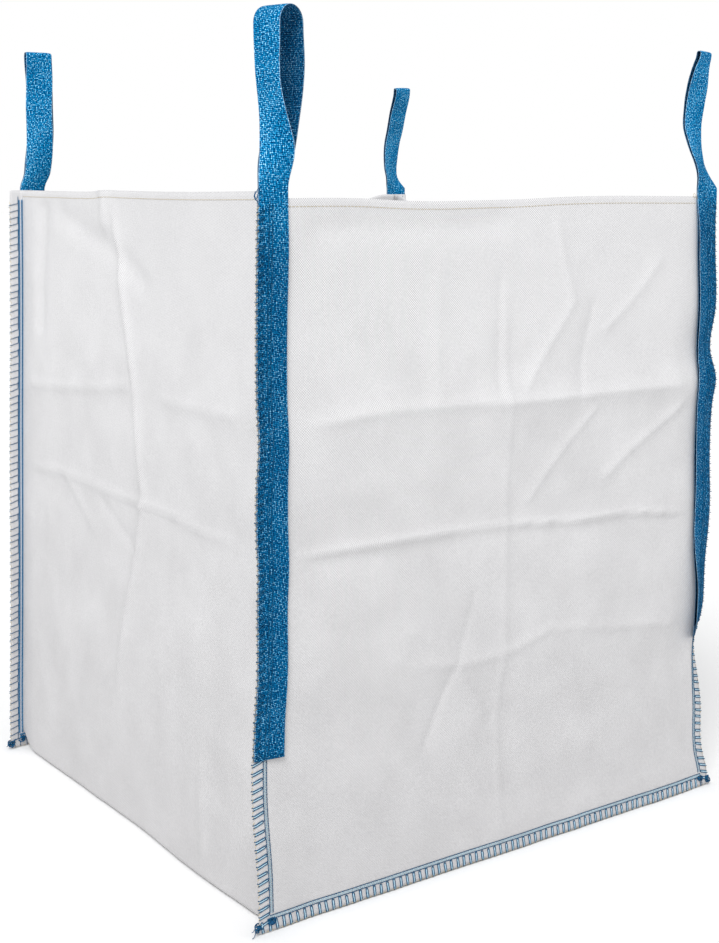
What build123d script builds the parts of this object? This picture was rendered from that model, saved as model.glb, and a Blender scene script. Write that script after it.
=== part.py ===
from build123d import *
from dataclasses import dataclass
import math
import os

# Bulk bag: a U shaped cloth (left wall, base and right wall in one length) closed by two flat side
# panels, with the seam allowances turned outwards, and a lifting strap sewn over each upright seam.
# Millimetres, +Z up. The origin is on the floor under the middle of the bag, +X runs along the
# front side panel to its right, and -Y points out of the front side panel.

# ---- the body
BODY_WIDTH = 900.0        # outside of the left wall to outside of the right wall
BODY_DEPTH = 900.0        # outside of the front side panel to outside of the rear one
WALL_RIM = 1072.0         # floor to the hemmed rim of the U panel's two walls
RIM_STEP = 10.0           # how much lower the side panels' rim stands
CLOTH = 1.0               # one layer of coated cloth
SEAM = 25.0               # width of the turned-out seam allowance
HEM = 20.0                # depth of the rim's inward hem
BASE_FOLD = 14.0          # radius of the fold between the base and a wall
BASE_RAMP = 45.0          # run over which the base climbs from the floor to the bottom seam
BASE_RAMP_ROUND = 40.0    # radius that eases the ramp onto the floor

# ---- the lifting straps
WEBBING = 50.0            # width of the webbing
WEBBING_THICK = 2.0       # one layer of webbing
LEG_ABOVE_RIM = 3.0       # the straps fold at this height above the walls' rim
PINCH = 12.0              # length over which the webbing thins to its fold line
PINCH_EDGE = 0.3          # thickness left at the fold line
FOLD_GAP = 0.6            # from the fold line to the webbing on either side of it
LAYER_GAP = 0.4           # between the two layers of a loop where they leave the rim
LOOP_STEPS = 9            # straight stretches in each layer of a loop
ARCH_STEPS = 8            # straight stretches round its top

# ---- the thread
THREAD = 0.6              # thickness of sewing thread lying on the cloth
OVERLOCK = SEAM - 9.0     # reach of the overlock stitch in from the raw edge
OVERLOCK_ON_WEBBING = 10.0
OVERLOCK_BELOW_RIM = 10.0
STITCH_WIDTH = 1.6        # width of a line of chain stitch
NEEDLE_LINE = SEAM - 6.5  # overlock needle line, in from the raw edge
SEAM_LINE = SEAM - 2.0    # chain stitch that closes the seam, in from the raw edge
STITCH_BELOW_RIM = 8.0
HEM_STITCH = 12.0         # hem stitch, down from the rim
KNOT = 7.0                # half height of the tied-off thread at a bottom corner
KNOT_TAIL = 6.0           # length of its tail past the lump
TAIL_RADIUS = 1.0


@dataclass(frozen=True)
class Strap:
    """One lifting strap: two sewn legs and the loop that stands above the rim.

    side and face give the corner: -1 or +1 along X and along Y. Lengths in mm, angles in degrees.
    """

    name: str
    side: int
    face: int
    inset: float            # raw edge of the seam to the strap's outer edge
    outer_end: float        # height of the outer leg's cut end
    inner_end: float        # height of the inner leg's cut end
    height: float           # fold line to the top of the loop
    eye: float              # opening between the loop's two layers at the top
    parted: float           # share of the loop's height over which they part
    twist: float            # turn of the webbing about Z at the top of the loop
    twist_reach: float      # share of the loop's height over which it turns
    bow: tuple              # sideways bow (X, Y) at mid height
    lean: tuple             # sideways offset (X, Y) of the top

    @property
    def middle(self):
        """X of the strap's middle line at the rim."""
        return self.side * (BODY_WIDTH / 2 + SEAM - self.inset - WEBBING / 2)

    @property
    def mid_plane(self):
        """Y of the plane where the two layers of the strap meet."""
        return self.face * (BODY_DEPTH / 2 + WEBBING_THICK)


STRAPS = (
    Strap("front_left", -1, -1, 0.0, 258.0, 258.0, 256.0, 48.0, 0.8, -74.0, 0.5, (8.0, 0.0), (9.0, 0.0)),
    Strap("front_right", 1, -1, 0.0, 302.0, 280.0, 238.0, 5.0, 1.0, 16.0, 0.6, (0.0, 32.0), (0.0, 12.0)),
    Strap("rear_left", -1, 1, SEAM - 3.0, 250.0, 250.0, 257.0, 14.0, 0.3, -6.0, 0.6,
          (16.0, 0.0), (16.0, 0.0)),
    Strap("rear_right", 1, 1, 0.0, 245.0, 245.0, 222.0, 5.0, 1.0, 27.0, 0.6, (-8.0, 14.0), (8.0, -22.0)),
)

HALF_WIDTH = BODY_WIDTH / 2
HALF_DEPTH = BODY_DEPTH / 2
SIDE_RIM = WALL_RIM - RIM_STEP
RAW_EDGE = HALF_WIDTH + SEAM
CLOTH_BOTTOM = THREAD               # the bottom raw edges stand on the overlock thread
BASE_SEAM = CLOTH_BOTTOM + SEAM     # height at which the base meets a side panel
FOLD_LINE = WALL_RIM + LEG_ABOVE_RIM
CORNERS = tuple((side, face) for face in (-1, 1) for side in (-1, 1))
SIDE_NAME = {-1: "left", 1: "right"}
FACE_NAME = {-1: "front", 1: "rear"}


def block(low, high):
    """A plain block between two opposite corners."""
    size = [b - a for a, b in zip(low, high)]
    middle = [(a + b) / 2 for a, b in zip(low, high)]
    return Pos(*middle) * Box(*size)


def at_corner(side, face, inward, outward, upward):
    """A block beside an upright seam.

    inward is a pair of distances in from the raw edge along X, outward a pair of distances out from
    the side panel's outer face along Y, and upward a pair of heights.
    """
    xs = sorted(side * (RAW_EDGE - u) for u in inward)
    ys = sorted(face * (HALF_DEPTH + v) for v in outward)
    return block((xs[0], ys[0], upward[0]), (xs[1], ys[1], upward[1]))


def along_bottom(face, inward, outward, upward):
    """A block along a bottom seam, inward being its distance in from each end of the raw edge."""
    reach = RAW_EDGE - inward
    ys = sorted(face * (HALF_DEPTH + v) for v in outward)
    return block((-reach, ys[0], upward[0]), (reach, ys[1], upward[1]))


# ---------------------------------------------------------------- cloth

def u_panel():
    """Left wall, base and right wall in one cloth, its front and rear edges turned outwards."""
    depth = HALF_DEPTH - CLOTH
    floor_reach = depth - BASE_RAMP
    outline = Polyline(
        (-depth, WALL_RIM), (-depth, BASE_SEAM), (-floor_reach, 0), (floor_reach, 0),
        (depth, BASE_SEAM), (depth, WALL_RIM), close=True,
    )
    side_view = make_face(outline)
    floor_corners = side_view.vertices().sort_by(Axis.Y)[:2]
    side_view = fillet(floor_corners, BASE_RAMP_ROUND)
    form = extrude(Plane.YZ * side_view, HALF_WIDTH, both=True)

    def folds(edge):
        on_wall = abs(abs(edge.center().X) - HALF_WIDTH) < 1e-3
        low = edge.center().Z < BASE_SEAM
        return on_wall and low

    form = fillet(form.edges().filter_by(folds), BASE_FOLD)
    open_faces = [f for f in form.faces() if f.is_planar and abs(f.normal_at().X) < 0.1
                  and (abs(f.normal_at().Y) > 0.99 or f.normal_at().Z > 0.99)]
    cloth = offset(form, -CLOTH, openings=open_faces, kind=Kind.INTERSECTION)

    allowance = Pos(0, (CLOTH_BOTTOM + WALL_RIM) / 2) * Rectangle(2 * RAW_EDGE, WALL_RIM - CLOTH_BOTTOM)
    mouth_low = BASE_SEAM + CLOTH
    mouth = Pos(0, (mouth_low + WALL_RIM) / 2) * Rectangle(2 * (HALF_WIDTH - CLOTH), WALL_RIM - mouth_low)
    mouth = fillet(mouth.vertices().sort_by(Axis.Y)[:2], BASE_FOLD - CLOTH)
    for face in (-1, 1):
        plane = Plane((0, face * depth, 0), x_dir=(1, 0, 0), z_dir=(0, -1, 0))
        cloth += extrude(plane * (allowance - mouth), face * CLOTH)

    hem_reach = depth - 2 * CLOTH
    for side in (-1, 1):
        xs = sorted(side * (HALF_WIDTH - CLOTH * n) for n in (0.5, 2.0))
        cloth += block((xs[0], -hem_reach, WALL_RIM - HEM), (xs[1], hem_reach, WALL_RIM))
    return cloth


def side_panel(face):
    """Flat side panel, as wide as the body and both seam allowances, hemmed inwards at the rim."""
    ys = sorted((face * HALF_DEPTH, face * (HALF_DEPTH - CLOTH)))
    panel = block((-RAW_EDGE, ys[0], CLOTH_BOTTOM), (RAW_EDGE, ys[1], SIDE_RIM))
    hem_reach = HALF_WIDTH - 3 * CLOTH
    hem = sorted(face * (HALF_DEPTH - CLOTH * n) for n in (0.5, 2.0))
    return panel + block((-hem_reach, hem[0], SIDE_RIM - HEM), (hem_reach, hem[1], SIDE_RIM))


# ---------------------------------------------------------------- webbing

def sewn_leg(strap, outer):
    """One sewn leg of a strap, thinned to the fold line at its top.

    The outer leg keeps its inner face and the inner leg its outer face, so both meet all the way up.
    """
    top = FOLD_LINE - FOLD_GAP
    low = strap.outer_end if outer else strap.inner_end
    lean = 1 if outer else -1
    meet = WEBBING_THICK
    back = meet + lean * WEBBING_THICK
    tip = meet + lean * PINCH_EDGE / 2
    profile = Polyline((meet, low), (meet, top), (tip, top), (back, top - PINCH), (back, low), close=True)
    xs = strap.middle - WEBBING / 2
    leg = extrude(Plane.YZ.offset(xs) * make_face(profile), WEBBING)
    leg = Pos(0, HALF_DEPTH, 0) * leg
    return leg if strap.face > 0 else mirror(leg, about=Plane.XZ)


def loop_centre(strap, share):
    """Middle line between the loop's layers: a bow that is widest half way up, and a growing lean."""
    bulge = math.sin(math.pi * share)
    x = strap.middle + strap.bow[0] * bulge + strap.lean[0] * share ** 2
    y = strap.mid_plane + strap.bow[1] * bulge ** 2 + strap.lean[1] * share ** 2
    return x, y


def ease(share):
    """Smooth step from 0 to 1, level at both ends and beyond."""
    step = min(max(share, 0.0), 1.0)
    return step * step * (3 - 2 * step)


def loop_turn(strap, share):
    """Direction of the webbing's width at a share of the height, eased in from square to the rim."""
    turn = math.radians(strap.twist) * ease(share / strap.twist_reach)
    across = Vector(math.cos(turn), math.sin(turn), 0)
    outwards = Vector(math.sin(turn), -math.cos(turn), 0)
    return across, outwards


def lifting_loop(strap):
    """The free loop: two layers that thicken from the fold line, turn and part, and a round top.

    One band is lofted up the outer layer, over the top and down the inner layer. Both ends are
    thinned to half the fold line's edge, and stay a hair apart.
    """
    radius = (strap.eye + WEBBING_THICK) / 2
    foot = FOLD_LINE + FOLD_GAP
    leg_top = FOLD_LINE + strap.height - radius - WEBBING_THICK / 2
    rise = leg_top - foot
    hair = PINCH_EDGE / 3

    def thickness(share):
        return hair + (WEBBING_THICK - hair) * min(share * rise / PINCH, 1.0)

    def half_gap(share):
        start = min(share * rise / PINCH, 1.0)
        gap = hair + (LAYER_GAP - hair) * start
        gap += (strap.eye - LAYER_GAP) * ease(share / strap.parted)
        return (gap + thickness(share)) / 2

    def layer_point(share, layer):
        x, y = loop_centre(strap, share)
        outwards = loop_turn(strap, share)[1]
        return Vector(x, y, foot + rise * share) + outwards * (layer * half_gap(share))

    def section(point, across, tangent, thick):
        plane = Plane(origin=point, x_dir=across, z_dir=tangent)
        return plane * Rectangle(WEBBING, thick)

    nudge = 0.002
    pinch_share = PINCH / rise
    above_pinch = [pinch_share + (1 - pinch_share) * n / LOOP_STEPS for n in range(LOOP_STEPS)]
    shares = [0.0] + above_pinch
    sections = []
    for layer, order in ((1, shares), (-1, shares[::-1])):
        for share in order:
            across = loop_turn(strap, share)[0]
            ahead = layer_point(share + nudge, layer) - layer_point(share, layer)
            tangent = Vector(0, 0, 1) if share <= pinch_share else ahead
            sections.append(section(layer_point(share, layer), across, tangent * layer, thickness(share)))
        if layer == 1:
            x, y = loop_centre(strap, 1.0)
            across, outwards = loop_turn(strap, 1.0)
            for step in range(ARCH_STEPS + 1):
                turn = math.pi * step / ARCH_STEPS
                spoke = outwards * math.cos(turn) + Vector(0, 0, 1) * math.sin(turn)
                ahead = Vector(0, 0, 1) * math.cos(turn) - outwards * math.sin(turn)
                point = Vector(x, y, leg_top) + spoke * radius
                sections.append(section(point, across, ahead, WEBBING_THICK))
    return Part() + loft(sections, ruled=True)


# ---------------------------------------------------------------- thread

def strap_at(side, face):
    """The strap at a corner."""
    return next(s for s in STRAPS if s.side == side and s.face == face)


def steps_up(side, face, inward, low, high):
    """Heights at which the number of webbing layers under a line of thread changes.

    Gives (low, high, layers) for a line at a distance in from the raw edge.
    """
    strap = strap_at(side, face)
    covered = strap.inset < inward < strap.inset + WEBBING
    ends = sorted((strap.inner_end, strap.outer_end)) if covered else []
    marks = [low] + [e for e in ends if low < e < high] + [high]
    layers = [sum(mark >= end for end in ends) for mark in marks]
    return [step for step in zip(marks, marks[1:], layers) if step[1] - step[0] > 1e-6]


def overlock_upright(side, face):
    """Overlock thread wrapped round an upright raw edge, over the strap where the strap reaches it."""
    run = []
    back = (-2 * CLOTH - THREAD, -2 * CLOTH)
    for low, high, layers in steps_up(side, face, THREAD, CLOTH_BOTTOM + OVERLOCK,
                                      SIDE_RIM - OVERLOCK_BELOW_RIM):
        out = layers * WEBBING_THICK
        reach = OVERLOCK_ON_WEBBING if layers else OVERLOCK
        upward = (low, high)
        run.append(at_corner(side, face, (-THREAD, 0), (back[0], out + THREAD), upward))
        run.append(at_corner(side, face, (-THREAD, reach), (out, out + THREAD), upward))
        run.append(at_corner(side, face, (-THREAD, OVERLOCK), back, upward))
    return Part() + run


def overlock_bottom(face):
    """Overlock thread wrapped round a bottom raw edge. The bag stands on it at front and rear."""
    outside = (-2 * CLOTH - THREAD, THREAD)
    top = CLOTH_BOTTOM + OVERLOCK
    return Part() + [
        along_bottom(face, 0.0, outside, (0.0, THREAD)),
        along_bottom(face, 0.0, (0.0, THREAD), (0.0, top)),
        along_bottom(face, 0.0, (-2 * CLOTH - THREAD, -2 * CLOTH), (0.0, top)),
    ]


def seam_stitch_upright(side, face):
    """The needle line and the chain stitch of an upright seam, on both of its faces."""
    low = CLOTH_BOTTOM + SEAM + STITCH_WIDTH
    run = []
    for line in (NEEDLE_LINE, SEAM_LINE):
        inward = (line - STITCH_WIDTH / 2, line + STITCH_WIDTH / 2)
        for start, stop, layers in steps_up(side, face, line, low, SIDE_RIM - STITCH_BELOW_RIM):
            out = layers * WEBBING_THICK
            run.append(at_corner(side, face, inward, (out, out + THREAD), (start, stop)))
        run.append(at_corner(side, face, inward, (-2 * CLOTH - THREAD, -2 * CLOTH),
                             (low, SIDE_RIM - STITCH_BELOW_RIM)))
    return Part() + run


def seam_stitch_bottom(face):
    """The needle line and the chain stitch of a bottom seam, on both of its faces."""
    run = []
    for line in (NEEDLE_LINE, SEAM_LINE):
        height = CLOTH_BOTTOM + line
        upward = (height - STITCH_WIDTH / 2, height + STITCH_WIDTH / 2)
        run.append(along_bottom(face, line, (0.0, THREAD), upward))
        run.append(along_bottom(face, line, (-2 * CLOTH - THREAD, -2 * CLOTH), upward))
    return Part() + run


def hem_stitch_side(face):
    """The hem's stitch line on a side panel's outer face, from strap to strap."""
    ends = sorted(s.side * (RAW_EDGE - s.inset - WEBBING - STITCH_WIDTH) for s in STRAPS if s.face == face)
    ys = sorted(face * (HALF_DEPTH + v) for v in (0.0, THREAD))
    height = SIDE_RIM - HEM_STITCH
    return block((ends[0], ys[0], height - STITCH_WIDTH / 2), (ends[1], ys[1], height + STITCH_WIDTH / 2))


def hem_stitch_wall(side):
    """The hem's stitch line on a wall's outer face, between the front and rear seam allowances."""
    reach = HALF_DEPTH - 2 * CLOTH - 2 * THREAD
    xs = sorted(side * (HALF_WIDTH + v) for v in (0.0, THREAD))
    height = WALL_RIM - HEM_STITCH
    return block((xs[0], -reach, height - STITCH_WIDTH / 2), (xs[1], reach, height + STITCH_WIDTH / 2))


def thread_knot(side, face):
    """Tied-off thread at a bottom corner: a pressed lump against the raw edges, and a short tail."""
    edge = RAW_EDGE + THREAD
    y = face * (HALF_DEPTH - CLOTH)
    lump = Pos(edge + KNOT / 2, y, CLOTH_BOTTOM + KNOT) * Box(KNOT, 2 * KNOT, 2 * KNOT)
    lump = chamfer(lump.edges().filter_by(Axis.X) + lump.faces().sort_by(Axis.X)[-1].edges(), KNOT / 3)
    tail_start = edge + KNOT / 2
    tail = block((tail_start, y - TAIL_RADIUS, CLOTH_BOTTOM),
                 (edge + KNOT + KNOT_TAIL, y + TAIL_RADIUS, CLOTH_BOTTOM + 2 * TAIL_RADIUS))
    knot = lump + tail
    return knot if side > 0 else mirror(knot, about=Plane.YZ)


# ---------------------------------------------------------------- the bag

def nodes():
    """Every piece of the bag, by its node name."""
    pieces = {"u_panel": u_panel()}
    for face in (-1, 1):
        name = FACE_NAME[face]
        pieces[f"{name}_side_panel"] = side_panel(face)
        pieces[f"{name}_bottom_overlock"] = overlock_bottom(face)
        pieces[f"{name}_bottom_seam_stitch"] = seam_stitch_bottom(face)
        pieces[f"{name}_hem_stitch"] = hem_stitch_side(face)
    for side in (-1, 1):
        pieces[f"{SIDE_NAME[side]}_hem_stitch"] = hem_stitch_wall(side)
    for side, face in CORNERS:
        name = f"{FACE_NAME[face]}_{SIDE_NAME[side]}"
        pieces[f"{name}_overlock"] = overlock_upright(side, face)
        pieces[f"{name}_seam_stitch"] = seam_stitch_upright(side, face)
        pieces[f"{name}_thread_knot"] = thread_knot(side, face)
    for strap in STRAPS:
        pieces[f"{strap.name}_strap_outer_leg"] = sewn_leg(strap, outer=True)
        pieces[f"{strap.name}_strap_inner_leg"] = sewn_leg(strap, outer=False)
        pieces[f"{strap.name}_lifting_loop"] = lifting_loop(strap)
    return pieces


os.makedirs("parts", exist_ok=True)
for node, shape in nodes().items():
    shape.label = node
    export_step(shape, f"parts/{node}.step")
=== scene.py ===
"""Bulk bag of white woven cloth: the looks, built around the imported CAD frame.

Metres throughout, in the frame's own axes: +Z up, -Y out of the front side panel, +X to its right.
Every soft piece is first worked out on the bag's flat, square form. BagForm.settle then moves all of
them together, so that cloth, webbing and thread stay in touch wherever the bag has sagged or leant.
"""

import logging
import math
from collections.abc import Callable
from dataclasses import dataclass, field
from enum import Enum

import bpy
import numpy as np
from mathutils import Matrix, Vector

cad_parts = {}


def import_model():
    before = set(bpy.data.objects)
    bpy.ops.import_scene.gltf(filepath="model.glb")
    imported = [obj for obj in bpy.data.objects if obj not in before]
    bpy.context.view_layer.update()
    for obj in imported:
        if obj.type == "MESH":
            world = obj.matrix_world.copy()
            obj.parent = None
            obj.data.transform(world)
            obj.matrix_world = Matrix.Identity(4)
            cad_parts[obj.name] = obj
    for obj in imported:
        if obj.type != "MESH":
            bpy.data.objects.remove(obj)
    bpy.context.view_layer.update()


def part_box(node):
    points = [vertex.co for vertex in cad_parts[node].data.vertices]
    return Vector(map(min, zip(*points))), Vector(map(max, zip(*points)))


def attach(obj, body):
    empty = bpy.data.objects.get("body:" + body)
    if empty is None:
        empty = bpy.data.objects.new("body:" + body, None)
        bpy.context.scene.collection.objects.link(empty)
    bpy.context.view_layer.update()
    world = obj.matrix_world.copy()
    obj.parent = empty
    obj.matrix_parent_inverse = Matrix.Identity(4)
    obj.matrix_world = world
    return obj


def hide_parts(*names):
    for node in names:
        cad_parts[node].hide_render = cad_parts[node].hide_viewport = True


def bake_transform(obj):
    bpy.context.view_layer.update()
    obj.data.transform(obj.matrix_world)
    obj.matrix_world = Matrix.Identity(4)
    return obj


LOG = logging.getLogger("bulk_bag")
MM = 0.001
TAU = 2.0 * math.pi
THREAD_ROUND = 6.0 * MM    # pattern coordinate of once round a thread
INNER_FACE = 1.0           # added across the pattern on a strap's inner face


# ------------------------------------------------------------------ named options

class Side(Enum):
    """Left or right wall, as the sign of X."""

    LEFT = -1
    RIGHT = 1


class Face(Enum):
    """Front or rear side panel, as the sign of Y."""

    FRONT = -1
    REAR = 1


class Slot(Enum):
    """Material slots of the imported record."""

    CLOTH = "woven_cloth"
    WEBBING = "lifting_webbing"
    OVERLOCK = "overlock_thread"
    SEAM = "seam_thread"
    PALE = "pale_thread"
    KNOT = "knot_thread"


class Finish(Enum):
    """The finishes, each under a slot of the record."""

    CLOTH = (Slot.CLOTH, "coated weave")
    WEBBING = (Slot.WEBBING, "webbing weave")
    OVERLOCK = (Slot.OVERLOCK, "dark blue")
    SEAM = (Slot.SEAM, "blue")
    COVER = (Slot.SEAM, "pale blue")
    PALE = (Slot.PALE, "cream")
    KNOT = (Slot.KNOT, "navy")


# ------------------------------------------------------------------ numpy tools

def ease(x: np.ndarray) -> np.ndarray:
    """Smooth step from 0 to 1: 3x^2 - 2x^3 on x held between 0 and 1.

    Args:
        x: Any array.

    Returns:
        The eased array.
    """
    x = np.clip(x, 0.0, 1.0)
    return x * x * (3.0 - 2.0 * x)


def through(x: np.ndarray, marks: tuple) -> np.ndarray:
    """A smooth curve through a few (place, value) marks, level beyond the first and the last.

    Between two marks it is a cubic whose slope at each mark is the mean slope to its neighbours.

    Args:
        x: Where to read the curve.
        marks: (place, value) pairs with rising places.

    Returns:
        The curve's values at x.
    """
    places, values = np.array(marks, float).T
    slopes = np.gradient(values, places)
    slopes[0] = slopes[-1] = 0.0
    x = np.clip(x, places[0], places[-1])
    i = np.clip(np.searchsorted(places, x) - 1, 0, len(places) - 2)
    step = places[i + 1] - places[i]
    t = (x - places[i]) / step
    rise = ease(t)
    lift = t * (1 - t) * ((1 - t) * slopes[i] - t * slopes[i + 1]) * step
    return values[i] + (values[i + 1] - values[i]) * rise + lift


def lattice_noise(u: np.ndarray, v: np.ndarray, cell: float, seed: int) -> np.ndarray:
    """Smooth value noise: seeded random numbers on a square lattice, eased between its corners.

    Args:
        u: First coordinate.
        v: Second coordinate.
        cell: Lattice pitch, in the same unit.
        seed: Seed of the lattice.

    Returns:
        Noise of about -1 to 1.
    """
    side = 64
    table = np.random.default_rng(seed).uniform(-1.0, 1.0, (side, side))
    a, b = u / cell + 17.0, v / cell + 31.0
    i, j = np.floor(a).astype(int), np.floor(b).astype(int)
    s, t = ease(a - i), ease(b - j)
    i0, i1, j0, j1 = i % side, (i + 1) % side, j % side, (j + 1) % side
    low = table[i0, j0] * (1 - s) + table[i1, j0] * s
    high = table[i0, j1] * (1 - s) + table[i1, j1] * s
    return low * (1 - t) + high * t


def unit(vectors: np.ndarray) -> np.ndarray:
    """Vectors scaled to length 1 along their last axis."""
    return vectors / np.maximum(np.linalg.norm(vectors, axis=-1, keepdims=True), 1e-12)


def grid_quads(rows: int, cols: int, wrap: bool = False) -> np.ndarray:
    """Corner numbers of the quads of a grid of vertices stored row by row.

    Args:
        rows: Vertices along the first parameter.
        cols: Vertices along the second parameter.
        wrap: Whether the last column joins the first.

    Returns:
        (n, 4) vertex numbers.
    """
    r = np.arange(rows - 1)[:, None]
    c = np.arange(cols if wrap else cols - 1)[None, :]
    after = (c + 1) % cols
    quads = np.stack([r * cols + c, r * cols + after, (r + 1) * cols + after, (r + 1) * cols + c], -1)
    return quads.reshape(-1, 4)


def resample(points: np.ndarray, count: int) -> np.ndarray:
    """A smooth line through a few points, read at evenly spaced steps of its parameter.

    Each span is a Catmull-Rom cubic: its tangent at a point is half the step between neighbours.

    Args:
        points: (n, 3) points.
        count: Points wanted.

    Returns:
        (count, 3) points.
    """
    padded = np.concatenate([2 * points[:1] - points[1:2], points, 2 * points[-1:] - points[-2:-1]])
    s = np.linspace(0, len(points) - 1, count)
    i = np.minimum(s.astype(int), len(points) - 2)
    t = (s - i)[:, None]
    p0, p1, p2, p3 = (padded[i + k] for k in range(4))
    return 0.5 * (2 * p1 + (p2 - p0) * t + (2 * p0 - 5 * p1 + 4 * p2 - p3) * t ** 2
                  + (3 * p1 - p0 - 3 * p2 + p3) * t ** 3)


@dataclass
class Shell:
    """Vertices, faces and a per-vertex pattern coordinate, gathered before they become a mesh."""

    points: list = field(default_factory=list)
    faces: list = field(default_factory=list)
    pattern: list = field(default_factory=list)
    count: int = 0

    def add(self, points: np.ndarray, faces: list, pattern: np.ndarray | None = None) -> None:
        """Adds a patch.

        Args:
            points: (n, 3) vertices.
            faces: Arrays of vertex numbers within the patch, one array for each face size.
            pattern: (n, 2) coordinates in metres along and across the piece.
        """
        points = points.reshape(-1, 3)
        self.points.append(points)
        self.pattern.append(np.zeros((len(points), 2)) if pattern is None else pattern.reshape(-1, 2))
        self.faces += [f + self.count for f in faces]
        self.count += len(points)

    def add_tubes(self, paths: np.ndarray, radius: float | np.ndarray, sides: int) -> None:
        """Adds round threads: a ring of points about each point of each path, closed by end caps.

        The ring's first spoke is the path's tangent crossed with a fixed slanting direction.

        Args:
            paths: (threads, points, 3) centre lines.
            radius: One radius, or one for each point of a path.
            sides: Points in a ring.
        """
        threads, steps = paths.shape[:2]
        ahead = unit(np.gradient(paths, axis=1))
        across = unit(np.cross(ahead, np.array([0.36, 0.48, 0.80])))
        up = np.cross(ahead, across)
        turn = TAU * np.arange(sides) / sides
        radii = np.broadcast_to(np.asarray(radius, float), (threads, steps))[..., None, None]
        ring = across[:, :, None] * np.cos(turn)[:, None] + up[:, :, None] * np.sin(turn)[:, None]
        points = paths[:, :, None] + ring * radii
        size = steps * sides
        starts = (np.arange(threads) * size)[:, None, None]
        quads = (grid_quads(steps, sides, wrap=True)[None] + starts).reshape(-1, 4)
        first = np.arange(sides)[::-1][None] + starts[:, 0]
        last = np.arange(sides)[None] + size - sides + starts[:, 0]
        along = np.cumsum(np.linalg.norm(np.diff(paths, axis=1, prepend=paths[:, :1]), axis=2), axis=1)
        pattern = np.stack(np.broadcast_arrays(along[..., None], turn / TAU * THREAD_ROUND), -1)
        self.add(points, [quads[:, ::-1], first[:, ::-1], last[:, ::-1]], pattern)

    def build(self, name: str, flat: bool = False) -> bpy.types.Object:
        """Makes the Blender object.

        Args:
            name: Piece name.
            flat: Whether its faces are shaded flat.

        Returns:
            The linked object, at the origin.
        """
        points = np.concatenate(self.points)
        sizes = np.concatenate([np.full(len(f), f.shape[1]) for f in self.faces])
        corners = np.concatenate([f.reshape(-1) for f in self.faces]).astype(np.int32)
        mesh = bpy.data.meshes.new(name)
        mesh.vertices.add(len(points))
        mesh.vertices.foreach_set("co", points.astype(np.float32).reshape(-1))
        mesh.loops.add(len(corners))
        mesh.loops.foreach_set("vertex_index", corners)
        mesh.polygons.add(len(sizes))
        starts = np.concatenate([[0], np.cumsum(sizes)[:-1]]).astype(np.int32)
        mesh.polygons.foreach_set("loop_start", starts)
        mesh.polygons.foreach_set("use_smooth", np.full(len(sizes), not flat))
        layer = mesh.uv_layers.new(name="pattern")
        layer.data.foreach_set("uv", np.concatenate(self.pattern)[corners].astype(np.float32).reshape(-1))
        mesh.update(calc_edges=True)
        mesh.validate()
        piece = bpy.data.objects.new(name, mesh)
        bpy.context.scene.collection.objects.link(piece)
        return piece


# ------------------------------------------------------------------ finishes

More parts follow.
